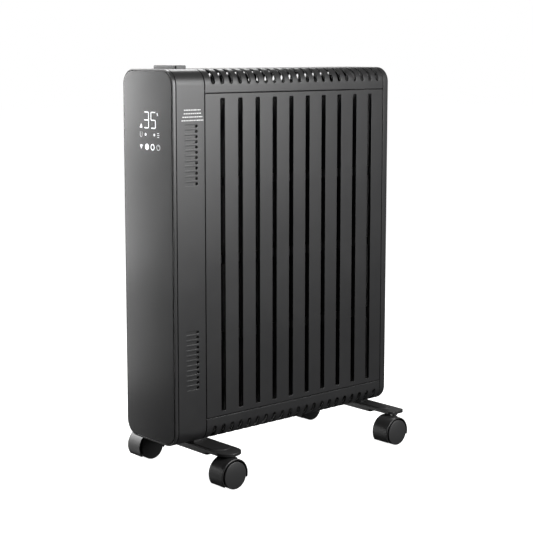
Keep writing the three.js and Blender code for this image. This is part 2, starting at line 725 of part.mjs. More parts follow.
ENDS.forEach((end, i) => SIDES.forEach((side, j) => {
  const place = new THREE.Vector3(STEM_X[i] - TRAIL, STEM_Y * (2 * j - 1), WHEEL_RADIUS);
  const corner = `${end}_${side}`;
  const parts = [
    addPart(`caster_stem_${corner}`, stem, plainSteel()),
    addPart(`caster_hood_${corner}`, hood, casterBlack()),
    addPart(`caster_axle_${corner}`, axle, plainSteel()),
    addPart(`caster_wheel_${corner}_a`, nearWheel, casterBlack()),
    addPart(`caster_wheel_${corner}_b`, farWheel, casterBlack()),
  ];
  parts.forEach((part) => part.position.copy(place));
}));

export default model;
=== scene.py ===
"""Oil filled radiator heater: fine surfaces, finishes and a studio stage.

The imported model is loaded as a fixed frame. Every casing sheet, foot and caster is
rebuilt here as a parametric surface in the same place, and each part that keeps its
own mesh gets a procedural finish.
"""

import json
import math

import bmesh
import bpy
import numpy as np
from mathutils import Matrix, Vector


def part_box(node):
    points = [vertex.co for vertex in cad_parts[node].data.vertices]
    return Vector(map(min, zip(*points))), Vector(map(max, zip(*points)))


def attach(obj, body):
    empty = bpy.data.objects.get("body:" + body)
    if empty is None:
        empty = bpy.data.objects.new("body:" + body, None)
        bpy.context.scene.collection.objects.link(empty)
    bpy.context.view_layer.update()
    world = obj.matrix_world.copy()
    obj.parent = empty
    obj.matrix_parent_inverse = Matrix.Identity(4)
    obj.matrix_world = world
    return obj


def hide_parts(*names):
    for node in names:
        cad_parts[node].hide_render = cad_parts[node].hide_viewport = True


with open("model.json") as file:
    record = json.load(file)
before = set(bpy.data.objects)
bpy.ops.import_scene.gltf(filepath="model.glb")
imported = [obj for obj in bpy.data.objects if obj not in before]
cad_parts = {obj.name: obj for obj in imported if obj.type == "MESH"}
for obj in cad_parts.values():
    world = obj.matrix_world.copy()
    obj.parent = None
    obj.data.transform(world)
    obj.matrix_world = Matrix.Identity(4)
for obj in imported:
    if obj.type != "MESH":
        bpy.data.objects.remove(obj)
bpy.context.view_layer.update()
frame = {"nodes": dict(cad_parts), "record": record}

bl_info = {
    "name": "Oil Filled Heater Maker",
    "version": (1, 0, 0),
    "blender": (4, 5, 0),
    "location": "View3D > Sidebar > Heater",
    "description": "Builds the casing, grilles, feet, casters and finishes of an oil filled heater",
    "category": "Object",
}

MM = 0.001
HALF_TURN = math.pi
QUARTER_TURN = math.pi / 2
TINY = 1e-7                  # lines closer than this are one line
CREASE = math.radians(32)    # edges turned more sharply than this stay crisp
ACROSS = [(1, 2), (2, 0), (0, 1)]    # the two axes across each axis, in turning order

# ------------------------------------------------------------------ places

PANEL_LOW, PANEL_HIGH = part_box("front_panel")
BEZEL_LOW, BEZEL_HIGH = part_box("panel_bezel")
HOUSING_LOW, HOUSING_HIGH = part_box("control_housing")
COVER_LOW, COVER_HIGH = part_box("side_panel_near")
TOP_LOW, TOP_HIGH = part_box("top_grille")
CAP_LOW, CAP_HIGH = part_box("rear_cap")
KEY_LOW, KEY_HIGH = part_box("power_key")

SIDE = HOUSING_HIGH.y
BODY_BOTTOM = HOUSING_LOW.z
BODY_TOP = HOUSING_HIGH.z
BODY_MIDDLE = (BODY_TOP + BODY_BOTTOM) / 2

FOOT_BOTTOM = 50 * MM
SADDLE_END = 32 * MM         # half the length of a foot's raised saddle
CLEARANCE = 0.3 * MM         # between a part and the opening it moves or sits in
KEY_FLANGE = 1.5 * MM
SLOT_CORNER = 2.2 * MM
SLOT_ROUND = 0.5 * MM        # radius of the rounded lip into a slot
VENT_ROUND = 0.9 * MM
VENT_RIM = 3 * MM
CAP_WALL = 2 * MM
PANEL_GAP = 1.0 * MM         # between the touch panel and the ring round it
BEZEL_LIP = 6 * MM           # how far the ring reaches in behind the panel

ENDS = ("front", "rear")
SIDES = ("near", "far")
CORNERS = [f"{end}_{side}" for end in ENDS for side in SIDES]


def node_centre(node):
    low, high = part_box(node)
    return (low + high) / 2


# ------------------------------------------------------------------ settings

def length(name, description, default):
    """A length in metres, shown in the scene's units."""
    return bpy.props.FloatProperty(
        name=name, description=description, default=default, unit="LENGTH", subtype="DISTANCE",
        precision=4,
    )


def amount(name, description, default):
    return bpy.props.FloatProperty(
        name=name, description=description, default=default, min=0.0, max=1.0, subtype="FACTOR",
    )


def strength(name, description, default):
    return bpy.props.FloatProperty(name=name, description=description, default=default, min=0.0)


def count(name, description, default):
    return bpy.props.IntProperty(name=name, description=description, default=default, min=1)


def angle(name, description, default):
    return bpy.props.FloatProperty(
        name=name, description=description, default=math.radians(default), unit="ROTATION",
        subtype="ANGLE",
    )


def colour(name, description, default):
    return bpy.props.FloatVectorProperty(
        name=name, description=description, default=default, size=3,
        min=0.0, max=1.0, subtype="COLOR",
    )


class HeaterCasing(bpy.types.PropertyGroup):
    """Sizes of the casing, its slots and its vents"""

    corner_radius: length("Corner radius", "Radius of the casing's long corners", 24 * MM)
    sheet: length("Sheet", "Thickness of the covers", 1.2 * MM)
    housing_wall: length("Housing wall", "Thickness of the control housing", 2.2 * MM)
    fold_radius: length("Fold radius", "Outer radius where a cover's edge turns in", 0.7 * MM)
    seam: length("Seam", "How much each edge stands back to widen a seam", 0.3 * MM)
    fold_depth: length("Fold depth", "Depth of a cover's turned-in edge", 6.5 * MM)
    slot_count: count("Slots", "Tall slots in each side cover", 10)
    slot_pitch: length("Slot pitch", "Distance between slots", 35.6 * MM)
    first_slot: length("First slot", "Distance of the first slot from the panel's face", 95.7 * MM)
    slot_width: length("Slot width", "Clear width of a slot", 9 * MM)
    slot_margin: length("Slot margin", "Distance from a slot's end to the cover's edge", 7.3 * MM)
    slot_lip: length("Slot lip", "Depth of a slot's turned-in lip", 5.6 * MM)
    vent_width: length("Vent width", "Clear width of a grille vent", 7 * MM)
    vent_rise: length("Vent rise", "Height of a vent below the casing's top", 22.5 * MM)
    vent_reach: length("Vent reach", "How far a vent runs in from the side", 31 * MM)
    vent_lip: length("Vent lip", "Depth of a vent's turned-in lip", 3.4 * MM)
    bezel_ring: length("Trim ring", "Width of the ring round the panel", 2.2 * MM)


class HeaterLouvres(bpy.types.PropertyGroup):
    """Sizes of the small air slots in the control housing"""

    rows: count("Slots in a block", "Air slots in each block", 12)
    pitch: length("Pitch", "Distance between air slots", 7.9 * MM)
    tall: length("Height", "Height of an air slot", 4.5 * MM)
    start: length("Start", "Front end of the slots from the panel's face", 21.7 * MM)
    end: length("End", "Rear end of the slots from the panel's face", 46.8 * MM)
    upper: length("Upper block", "Height of the lowest slot of the upper block", 468.2 * MM)
    lower: length("Lower block", "Height of the lowest slot of the lower block", 152.7 * MM)
    pocket: length("Pocket depth", "Depth of the shallow pocket before the hole", 1.1 * MM)
    hole: length("Hole radius", "Radius of the hole at the rear end", 2.0 * MM)


class HeaterFeet(bpy.types.PropertyGroup):
    """Sizes of the foot plates and casters"""

    plate: length("Plate thickness", "Thickness of a foot plate at its ends", 5 * MM)
    emboss: length("Raised middle", "Height of the plate's raised middle", 1.4 * MM)
    skirt_wall: length("Skirt wall", "Thickness of the turned-down skirt", 2 * MM)
    front_skirt: length("Front skirt end", "Half the length of the front foot's skirt", 74 * MM)
    rear_skirt: length("Rear skirt end", "Half the length of the rear foot's skirt", 62 * MM)
    front_corner: length("Front corner", "Corner radius of the front foot's ends", 21.9 * MM)
    rear_corner: length("Rear corner", "Corner radius of the rear foot's ends", 9 * MM)
    wheel_radius: length("Wheel radius", "Radius of a caster wheel", 21.5 * MM)
    hood_radius: length("Hood radius", "Outer radius of a caster hood", 26 * MM)
    hood_inner: length("Hood inner radius", "Inner radius of a caster hood", 24.2 * MM)
    hood_half: length("Hood half width", "Half the width of a caster hood", 17 * MM)
    web_half: length("Web half width", "Half the width of the web between the wheels", 5.5 * MM)
    nose_drop: length(
        "Nose drop", "How far the hood comes below the axle away from the stem", 15 * MM)
    heel_drop: length("Heel drop", "How far the hood comes below the axle under the stem", 7 * MM)
    stem_radius: length("Stem radius", "Radius of a caster stem", 4 * MM)


class HeaterFinish(bpy.types.PropertyGroup):
    """Colours and gloss of the heater's finishes"""

    coat: colour("Satin coat", "Powder coat on the casing", (0.011, 0.011, 0.0115))
    coat_roughness: amount("Coat roughness", "Roughness of the powder coat", 0.38)
    panel: colour("Panel", "Touch panel", (0.007, 0.007, 0.0075))
    panel_roughness: amount("Panel roughness", "Roughness of the touch panel", 0.25)
    plastic: colour("Caster plastic", "Moulded plastic of casters and key", (0.012, 0.012, 0.0125))
    plastic_roughness: amount("Plastic roughness", "Roughness of the moulded plastic", 0.42)
    fixture: colour("Inner fixtures", "Rails and brackets behind the covers",
                    (0.016, 0.016, 0.0165))
    fins: colour("Fins", "Heat resistant coat on the fins", (0.010, 0.010, 0.010))
    glow: colour("Lit symbols", "Colour of the lit symbols", (0.95, 0.97, 1.0))
    glow_strength: strength("Glow", "Strength of the lit symbols", 1.3)
    dim_strength: strength("Dim glow", "Strength of the dim symbols", 0.55)


class HeaterStage(bpy.types.PropertyGroup):
    """Camera and light"""

    camera_place: bpy.props.FloatVectorProperty(
        name="Camera", description="Camera position", default=(-1.4623, -1.6677, 0.6668),
        size=3, unit="LENGTH", subtype="TRANSLATION",
    )
    heading: angle("Heading", "Turn of the view from +Y towards +X", 41.42)
    dip: angle("Dip", "Angle of the view below the horizon", 7.76)
    lens: bpy.props.FloatProperty(
        name="Lens", description="Focal length in millimetres", default=91.87, unit="CAMERA",
    )
    shift: bpy.props.FloatProperty(
        name="Shift", description="Vertical lens shift in image widths", default=-0.0563,
    )


def casing_settings():
    return bpy.context.scene.heater_casing


# ------------------------------------------------------------------ mesh tools

def quads(rows, columns, wrap_rows=False, wrap_columns=False):
    """Faces of a grid of rows x columns points. Each face runs along the row first,
    then to the next row, so its normal is row direction x column direction."""
    i, j = np.meshgrid(
        np.arange(rows if wrap_rows else rows - 1),
        np.arange(columns if wrap_columns else columns - 1),
        indexing="ij",
    )
    i, j = i.ravel(), j.ravel()
    next_i, next_j = (i + 1) % rows, (j + 1) % columns
    corners = [
        i * columns + j, i * columns + next_j, next_i * columns + next_j, next_i * columns + j,
    ]
    return np.stack(corners, axis=1)


def surface(grid, wrap_rows=False, wrap_columns=False):
    """A patch (points, faces) from a rows x columns x 3 array of points."""
    rows, columns = grid.shape[:2]
    return grid.reshape(-1, 3), quads(rows, columns, wrap_rows, wrap_columns).tolist()


def flipped(patch):
    points, faces = patch
    return points, [face[::-1] for face in faces]


def mirrored(patches, axis, about=0.0):
    """The patches reflected in the plane where that coordinate equals about."""
    result = []
    for points, faces in patches:
        turned = points.copy()
        turned[:, axis] = 2 * about - turned[:, axis]
        result.append((turned, [face[::-1] for face in faces]))
    return result


def moved(patches, place):
    return [(points + np.asarray(place, float), faces) for points, faces in patches]


def join_patches(patches):
    points, faces, start = [], [], 0
    for patch_points, patch_faces in patches:
        points.append(patch_points)
        faces.extend([[index + start for index in face] for face in patch_faces])
        start += len(patch_points)
    return np.concatenate(points), faces


def add_piece(name, patches, finish, nodes=(), body="heater", wall=0.0):
    """Joins patches into one object at the origin, merges the points they share, and
    lets it ride on its body. A sheet with a wall gets that thickness inwards."""
    points, faces = join_patches(patches)
    mesh = bpy.data.meshes.new(name)
    mesh.from_pydata(points.tolist(), [], faces)
    work = bmesh.new()
    work.from_mesh(mesh)
    bmesh.ops.remove_doubles(work, verts=work.verts, dist=2e-6)
    bmesh.ops.dissolve_degenerate(work, edges=work.edges, dist=TINY)
    if not wall:
        bmesh.ops.recalc_face_normals(work, faces=work.faces)
    work.to_mesh(mesh)
    work.free()
    mesh.polygons.foreach_set("use_smooth", [True] * len(mesh.polygons))
    mesh.set_sharp_from_angle(angle=CREASE)
    mesh.materials.append(MATERIALS[finish])
    piece = bpy.data.objects.new(name, mesh)
    bpy.context.scene.collection.objects.link(piece)
    if wall:
        solidify = piece.modifiers.new("Wall", "SOLIDIFY")
        solidify.thickness = wall
        solidify.offset = -1.0
        solidify.use_even_offset = True
    shading = piece.modifiers.new("Even Shading", "WEIGHTED_NORMAL")
    shading.mode = "FACE_AREA"
    shading.keep_sharp = True
    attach(piece, body)
    if nodes:
        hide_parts(*nodes)


def quarter(steps):
    """Sine and cosine of evenly spaced angles over a quarter turn."""
    turn = np.linspace(0.0, QUARTER_TURN, steps + 1)
    return np.sin(turn), np.cos(turn)


# ------------------------------------------------------------------ outlines

def rounded_outline(half_u, half_v, radius, arc_steps=8, u_steps=1, v_steps=1):
    """Core points and outward normals round a rectangle with round corners, anticlockwise
    in (u, v) from the middle of the right side. A point drawn in by any inset is
    core + normal * (radius - inset), so every ring keeps the same number of points."""
    core_u, core_v = half_u - radius, half_v - radius
    arc = np.linspace(0.0, QUARTER_TURN, arc_steps + 1)
    along_v = np.linspace(-1.0, 1.0, v_steps + 1)[1:-1]
    along_u = np.linspace(-1.0, 1.0, u_steps + 1)[1:-1]
    turns, us, vs = [], [], []

    def add(turn, u, v):
        turns.append(np.broadcast_to(turn, np.broadcast(turn, u, v).shape).ravel())
        us.append(np.broadcast_to(u, turns[-1].shape).ravel())
        vs.append(np.broadcast_to(v, turns[-1].shape).ravel())

    add(0.0, core_u, core_v * along_v)
    add(arc, core_u, core_v)
    add(QUARTER_TURN, -core_u * along_u, core_v)
    add(arc + QUARTER_TURN, -core_u, core_v)
    add(HALF_TURN, -core_u, -core_v * along_v)
    add(arc + HALF_TURN, -core_u, -core_v)
    add(3 * QUARTER_TURN, core_u * along_u, -core_v)
    add(arc + 3 * QUARTER_TURN, core_u, -core_v)
    turn = np.concatenate(turns)
    core = np.stack([np.concatenate(us), np.concatenate(vs)], axis=1)
    normal = np.stack([np.cos(turn), np.sin(turn)], axis=1)
    return core, normal


def ring_stack(outline, radius, rows, axis):
    """A surface through rings of one outline. Each row is (height, inset); height is
    measured along the axis and the outline lies across it."""
    core, normal = outline
    heights, insets = np.asarray(rows, float).T
    flat = core[None] + normal[None] * (radius - insets)[:, None, None]
    grid = np.empty(flat.shape[:2] + (3,))
    grid[..., ACROSS[axis]] = flat
    grid[..., axis] = heights[:, None]
    return grid


def spine_cap(ring, axis, steps=10):
    """Closes a ring of points over its own plane: each point runs in a straight line to
    the nearest point of a spine along the ring's longer middle line."""
    across = ACROSS[axis]
    spans = np.ptp(ring[:, across], axis=0)
    long_way, short_way = across if spans[0] > spans[1] else across[::-1]
    middle = (ring.max(0) + ring.min(0)) / 2
    reach = (max(spans) - min(spans)) / 2
    spine = ring.copy()
    spine[:, short_way] = middle[short_way]
    spine[:, long_way] = np.clip(
        ring[:, long_way], middle[long_way] - reach, middle[long_way] + reach,
    )
    share = np.linspace(0.0, 1.0, steps + 1)[:, None, None]
    return ring[None] * (1 - share) + spine[None] * share


def capped(grid, axis, steps=10):
    """A closed solid from a stack of rings, with both end rings closed over."""
    ends = (surface(spine_cap(grid[-1], axis, steps), wrap_columns=True),
            flipped(surface(spine_cap(grid[0], axis, steps), wrap_columns=True)))
    return [surface(grid, wrap_columns=True), *ends]


def round_rows(height, inset, radius, rise, steps=4):
    """Rows of a rounded edge: from the side wall at that inset over a quarter circle to
    the face at that height. rise is +1 where the face is above the wall, or -1."""
    return [
        (height - rise * radius * (1 - s), inset + radius * (1 - c))
        for s, c in zip(*quarter(steps))
    ]


def lathe(profile, steps, axis, centre):
    """A closed solid turned about an axis. The profile is (distance along, radius)."""
    along, radius = np.asarray(profile, float).T
    turn = np.linspace(0.0, 2 * HALF_TURN, steps, endpoint=False)
    grid = np.empty((len(along), steps, 3))
    grid[..., ACROSS[axis]] = radius[:, None, None] * np.stack([np.cos(turn), np.sin(turn)], axis=1)
    grid[..., axis] = along[:, None]
    grid += np.asarray(centre, float)
    return surface(grid, wrap_columns=True)


# ------------------------------------------------------------------ casing curve

def casing_stations():
    """The casing's cross-section from the middle of the underside round by the near side,
    the top and the far side: at each end of its pieces, the distance round, the core point
    (y, z) and the turn of the normal about it. Straights and round corners take turns."""
    radius = casing_settings().corner_radius
    y, low, high = SIDE - radius, BODY_BOTTOM + radius, BODY_TOP - radius
    cores = [(0, low), (-y, low), (-y, low), (-y, high), (-y, high),
             (y, high), (y, high), (y, low), (y, low), (0, low)]
    turns = np.repeat([-1, -2, -3, -4, -5], 2)
    spans = [y, 0, high - low, 0, 2 * y, 0, high - low, 0, y]
    spans = [span if span else QUARTER_TURN * radius for span in spans]
    ends = np.concatenate([[0.0], np.cumsum(spans)])
    return ends, np.array(cores, float), turns * QUARTER_TURN


def casing_point(x, s, depth):
    """Points on the casing: x along the heater, s round its section, and depth inwards
    along the section's normal. Core and turn both vary evenly with s along each piece."""
    ends, cores, turns = casing_stations()
    piece = np.clip(np.searchsorted(ends, s, side="right") - 1, 0, len(ends) - 2)
    share = (s - ends[piece]) / (ends[piece + 1] - ends[piece])
    core = cores[piece] * (1 - share)[..., None] + cores[piece + 1] * share[..., None]
    turn = turns[piece] * (1 - share) + turns[piece + 1] * share
    reach = casing_settings().corner_radius - depth
    y = core[..., 0] + reach * np.cos(turn)
    z = core[..., 1] + reach * np.sin(turn)
    return np.stack([x, y, z], axis=-1)


def near_station(height):
    """Distance round the section to a height on the near side."""
    radius = casing_settings().corner_radius
    return (SIDE - radius) + QUARTER_TURN * radius + (height - BODY_BOTTOM - radius)


def section_length():
    return casing_stations()[0][-1]


def corner_lines(steps=10):
    """Stations through the four round corners, where a sheet needs more points."""
    ends = casing_stations()[0]
    return np.concatenate([np.linspace(ends[i], ends[i + 1], steps + 1) for i in (1, 3, 5, 7)])


# ------------------------------------------------------------------ slotted sheets

def fold_in(edge, towards, radius, depth, steps=4):
    """Positions and depths across a turned-in edge, from its inner rim to the face."""
    sine, cosine = quarter(steps)
    position = np.concatenate([[edge], edge + towards * radius * (1 - cosine)])
    depths = np.concatenate([[depth], radius * (1 - sine)])
    return position, depths


def both_folds(low, high, seam, radius, depth, steps=4):
    """The turned-in edges at both ends of a sheet, each set back by the seam, as
    (positions, depths) in rising order."""
    position, depths = fold_in(high - seam, -1, radius, depth, steps)
    return fold_in(low + seam, 1, radius, depth, steps), (position[::-1], depths[::-1])


def distinct(lines):
    return np.unique(np.round(lines, 8))


class SlotCell:
    """A rectangle of sheet with one slot in it, as rings of points from the rectangle in
    to the slot and down its lip. Across is u and along is v. The slot's corners are round,
    with a flat of half width flat between them, and its rows are (offset, depth). A hole
    at the slot's floor goes on inwards as (its place in v, its own rows)."""

    def __init__(self, half, slot_low, slot_high, radius, rim, side_lines, rows,
                 arc_steps=5, flat=0.0, hole=(0.0, ())):
        start, end = slot_low + radius, slot_high - radius
        corner = math.atan2(radius + rim, half - flat)
        quarter_turn = np.unique(np.concatenate([
            np.linspace(0.0, corner, arc_steps), np.linspace(corner, QUARTER_TURN, arc_steps + 1),
        ]))
        back = HALF_TURN - quarter_turn[::-1]
        if not flat:
            back = back[1:]
        side = np.asarray([line for line in side_lines if start < line < end])
        turn = np.concatenate([0 * side, quarter_turn, back, 0 * side + HALF_TURN,
                               quarter_turn + HALF_TURN, back + HALF_TURN])
        right, left = 0 * quarter_turn + flat, 0 * back - flat
        core_u = np.concatenate([0 * side + flat, right, left, 0 * side - flat, -right, -left])
        ends = np.concatenate([0 * quarter_turn, 0 * back])
        centre = np.concatenate([side, ends + end, side[::-1], ends + start])
        normal = np.stack([np.cos(turn), np.sin(turn)], axis=1)
        core = np.stack([core_u, centre], axis=1)
        reach = np.minimum(
            (half - flat) / np.maximum(np.abs(normal[:, 0]), 1e-9),
            (radius + rim) / np.maximum(np.abs(normal[:, 1]), 1e-9),
        )
        rings = [core + normal * reach[:, None]]
        depths = [0.0]
        for offset, depth in rows:
            rings.append(core + normal * (radius + offset))
            depths.append(depth)
        hole_place, hole_rows = hole
        for offset, depth in hole_rows:
            rings.append(np.array([0.0, hole_place]) + normal * offset)
            depths.append(depth)
        self.rings = np.stack(rings)
        self.depths = np.array(depths)
        self.half, self.low, self.high = half, slot_low - rim, slot_high + rim
        edge = self.rings[0]
        self.u_lines = distinct(edge[np.abs(edge[:, 1] - self.high) < TINY, 0])
        self.v_lines = distinct(edge[np.abs(edge[:, 0] - half) < TINY, 1])

    def patch(self, centre, place):
        u = self.rings[..., 0] + centre
        v = self.rings[..., 1]
        depth = np.broadcast_to(self.depths[:, None], u.shape)
        return surface(place(u, v, depth), wrap_columns=True)


def lip_rows(radius, depth, steps=4):
    """Rows of a slot's lip: over a quarter circle and straight down to its rim."""
    rows = [(radius * (1 - s), radius * (1 - c)) for s, c in zip(*quarter(steps))]
    return rows + [(0.0, depth)]


def plain_patch(u, u_depth, v, v_depth, place):
    """A patch of sheet between lines in u and v; where both edges fold, the deeper wins."""
    grid_u, grid_v = np.meshgrid(u, v)
    depth = np.maximum(*np.meshgrid(u_depth, v_depth))
    return surface(place(grid_u, grid_v, depth))


def stretch(low, inside, high):
    """Lines and depths from one edge to the next, with flat lines between them. An edge
    is (positions, depths)."""
    (low_at, low_depth), (high_at, high_depth) = low, high
    between = np.array([line for line in inside if low_at[-1] + TINY < line < high_at[0] - TINY])
    return (np.concatenate([low_at, between, high_at]),
            np.concatenate([low_depth, 0 * between, high_depth]))


def gaps(folds, holes):
    """Pairs of edges with plain sheet between them, from the low fold past each hole,
    which is (start, end), to the high fold."""
    lows = [folds[0]] + [(np.array([end]), np.zeros(1)) for _, end in holes]
    highs = [(np.array([start]), np.zeros(1)) for start, _ in holes] + [folds[1]]
    return list(zip(lows, highs))


def slotted_sheet(centres, extra_lines, u_folds, bands, v_folds, place, v_lines=()):
    """A sheet with slots at the given centres, in one or more bands of v. The lines of
    each cell's rectangle run on across the plain sheet, so that the patches share points."""
    cell = bands[0]
    clear = [line for line in extra_lines
             if all(abs(line - centre) > cell.half + TINY for centre in centres)]
    sides = [(centre - cell.half, centre + cell.half) for centre in sorted(centres)]
    plain_lines = distinct(np.concatenate([clear, np.ravel(sides)]))
    all_lines = distinct(np.concatenate([plain_lines, *[cell.u_lines + c for c in centres]]))
    across = stretch(u_folds[0], all_lines, u_folds[1])
    rows = gaps(v_folds, [(band.low, band.high) for band in bands])
    patches = [plain_patch(*across, *stretch(low, v_lines, high), place) for low, high in rows]
    for band in bands:
        patches.extend(band.patch(centre, place) for centre in centres)
        for low, high in gaps(u_folds, sides):
            if high[0][0] - low[0][-1] > TINY:
                column = stretch(low, plain_lines, high)
                patches.append(plain_patch(*column, band.v_lines, 0 * band.v_lines, place))
    return patches


def drop_faces(patch, keep):
    """The patch without the faces whose centre the test rejects."""
    points, faces = patch
    centres = np.array([points[face].mean(0) for face in faces])
    kept = keep(centres)
    return points, [face for face, stays in zip(faces, kept) if stays]


def slot_centres(casing):
    start = PANEL_LOW.x + casing.first_slot
    return start + casing.slot_pitch * np.arange(casing.slot_count)


# ------------------------------------------------------------------ casing pieces

def cover_place(x, z, depth):
    """Near side cover: x along, z up, depth towards +Y."""
    return np.stack([x, -SIDE + depth, z], axis=-1)


def side_cover_patches(casing):
    """A flat sheet with ten tall slots, its four edges turned in."""
    slot_low, slot_high = COVER_LOW.z + casing.slot_margin, COVER_HIGH.z - casing.slot_margin
    fold, depth = casing.fold_radius, casing.fold_depth
    cell = SlotCell(
        casing.slot_pitch / 2, slot_low, slot_high, SLOT_CORNER,
        casing.slot_margin - 3 * fold, np.linspace(slot_low, slot_high, 16),
        lip_rows(SLOT_ROUND, casing.slot_lip), flat=casing.slot_width / 2 - SLOT_CORNER,
    )
    u_folds = both_folds(COVER_LOW.x, COVER_HIGH.x, casing.seam, fold, depth)
    v_folds = both_folds(COVER_LOW.z, COVER_HIGH.z, casing.seam, fold, depth)
    return slotted_sheet(slot_centres(casing), [], u_folds, [cell], v_folds, cover_place)


def grille_patches(casing):
    """The top channel: a sheet bent over the casing's section, with a vent through each
    round corner at every half pitch of the side slots."""
    slots = slot_centres(casing)
    pitch = casing.slot_pitch / 2
    centres = slots[0] + pitch * (np.arange(2 * len(slots) + 1) - 1)
    total = section_length()
    start = near_station(TOP_LOW.z + casing.seam)
    vent_low = near_station(BODY_TOP - casing.vent_rise)
    radius = casing.corner_radius
    corner_end = near_station(BODY_TOP - radius) + QUARTER_TURN * radius
    vent_high = corner_end + casing.vent_reach - radius
    side_lines = np.linspace(vent_low, vent_high, 18)
    rows = lip_rows(VENT_ROUND, casing.vent_lip)
    near, far = (
        SlotCell(pitch / 2, low, high, casing.vent_width / 2, VENT_RIM, lines, rows)
        for low, high, lines in (
            (vent_low, vent_high, side_lines),
            (total - vent_high, total - vent_low, total - side_lines[::-1]),
        )
    )
    fold = casing.fold_radius
    u_folds = both_folds(TOP_LOW.x, TOP_HIGH.x, casing.seam, fold, 1.7 * MM)
    v_folds = both_folds(start, total - start, 0.0, fold, casing.fold_depth)
    return slotted_sheet(centres, [], u_folds, [near, far], v_folds, casing_point)


def housing_place(u, v, depth):
    """Control housing: v runs along the heater and u backwards round the section, so
    that the faces still look outwards."""
    return casing_point(v, -u, depth)


def housing_patches(casing, louvres):
    """A tube of the casing's section with four blocks of air slots. Each slot is a shallow
    pocket that ends in a round hole."""
    total = section_length()
    steps = louvres.pitch * np.arange(louvres.rows)
    near = np.concatenate([
        near_station(louvres.upper) + steps, near_station(louvres.lower) + steps,
    ])
    centres = -np.concatenate([near, total - near])
    start, end = PANEL_LOW.x + louvres.start, PANEL_LOW.x + louvres.end
    radius = louvres.tall / 2
    gland = node_centre("cord_gland").x
    gland_half = 5 * MM
    key_front = KEY_LOW.x + KEY_FLANGE - CLEARANCE
    key_rear = KEY_HIGH.x - KEY_FLANGE + CLEARANCE
    key_half = (KEY_HIGH.y - KEY_LOW.y) / 2 - KEY_FLANGE + CLEARANCE
    side_lines = sorted([key_front, gland - gland_half, gland + gland_half, (start + end) / 2])
    pocket, bore = louvres.pocket, louvres.hole - 0.15 * MM
    rows = [(0.35 * MM, 0.0), (0.1 * MM, 0.12 * MM), (0.0, 0.4 * MM),
            (0.0, pocket - 0.2 * MM), (-0.2 * MM, pocket)]
    hole = [(louvres.hole, pocket), (bore, pocket + 0.3 * MM), (bore, pocket + 2.2 * MM)]
    cell = SlotCell(louvres.pitch / 2, start, end, radius, 2.5 * MM, side_lines, rows,
                    arc_steps=4, hole=(end - radius, hole))
    fold = casing.fold_radius
    v_folds = both_folds(HOUSING_LOW.x, HOUSING_HIGH.x, casing.seam, fold, 2.4 * MM, 3)
    ends = casing_stations()[0]
    flats = [np.linspace(ends[i], ends[i + 1], n) for i, n in ((2, 24), (4, 4), (6, 24))]
    lines = -np.concatenate([
        corner_lines(), *flats, [total / 2 - key_half, total / 2 + key_half],
        [gland_half, total - gland_half],
    ])
    u_ends = tuple((np.array([at]), np.zeros(1)) for at in (-total, 0.0))
    patches = slotted_sheet(centres, lines, u_ends, [cell], v_folds, housing_place, [key_rear])

    def keep(centre):
        """Leaves out the openings for the key and the cable entry bush."""
        x, y, z = centre.T
        in_key = (z > BODY_TOP - 3 * MM) & (np.abs(y) < key_half) & (x > key_front) & (x < key_rear)
        in_gland = (z < BODY_BOTTOM + 3 * MM) & (np.abs(y) < gland_half)
        return ~(in_key | in_gland & (np.abs(x - gland) < gland_half))

    return [drop_faces(patch, keep) for patch in patches]


def casing_rings(casing, rows):
    """Rings of the casing's outline from (x, inset) rows, at the casing's own height."""
    radius = casing.corner_radius
    outline = rounded_outline(SIDE, (BODY_TOP - BODY_BOTTOM) / 2, radius, 12, 4, 14)
    grid = ring_stack(outline, radius, rows, 0)
    grid[..., 2] += BODY_MIDDLE
    return grid


def panel_patches(casing):
    """The touch panel: a slab with softly rounded edges."""
    inset = casing.bezel_ring + PANEL_GAP
    rows = [(PANEL_HIGH.x, inset + 0.3 * MM), (PANEL_HIGH.x - 0.3 * MM, inset)]
    rows += round_rows(PANEL_LOW.x, inset, 0.45 * MM, -1, 5)
    return capped(casing_rings(casing, rows), 0)


def bezel_patches(casing):
    """The trim ring: a closed profile carried round the casing's outline, with a lip
    behind the panel's edge."""
    front, rear = BEZEL_LOW.x, BEZEL_HIGH.x - casing.seam
    ring, lip_front = casing.bezel_ring, PANEL_HIGH.x + CLEARANCE
    bead = 0.3 * MM
    rows = [(rear, 0.4 * MM), (rear - 0.4 * MM, 0.0)]
    rows += round_rows(front, 0.0, 0.7 * MM, -1, 5)
    rows += [(front + bead * (1 - c), ring - bead * (1 - s)) for s, c in zip(*quarter(3))]
    rows += [(lip_front, ring), (lip_front, ring + BEZEL_LIP), (rear, ring + BEZEL_LIP)]
    return [surface(casing_rings(casing, rows), wrap_rows=True, wrap_columns=True)]


def rear_cap_patches(casing):
    """The rear end: a short tube of the casing's section rounded over into a flat wall."""
    front, fold = CAP_LOW.x + casing.seam, casing.fold_radius
    rows = [(front, 2.4 * MM)]
    rows += [(front + fold * (1 - c), fold * (1 - s)) for s, c in zip(*quarter(3))]
    rows += round_rows(CAP_HIGH.x, 0.0, 6 * MM, 1, 8)
    grid = casing_rings(casing, rows)
    return [surface(grid, wrap_columns=True), surface(spine_cap(grid[-1], 0), wrap_columns=True)]


def block_rings(x, half_x, half_y, radius, rows, corner_steps):
    """Rings of a rounded rectangle about (x, 0) from (z, inset) rows."""
    outline = rounded_outline(half_x, half_y, radius, corner_steps, 2, 4)
    grid = ring_stack(outline, radius, rows, 2)
    grid[..., 0] += x
    return grid


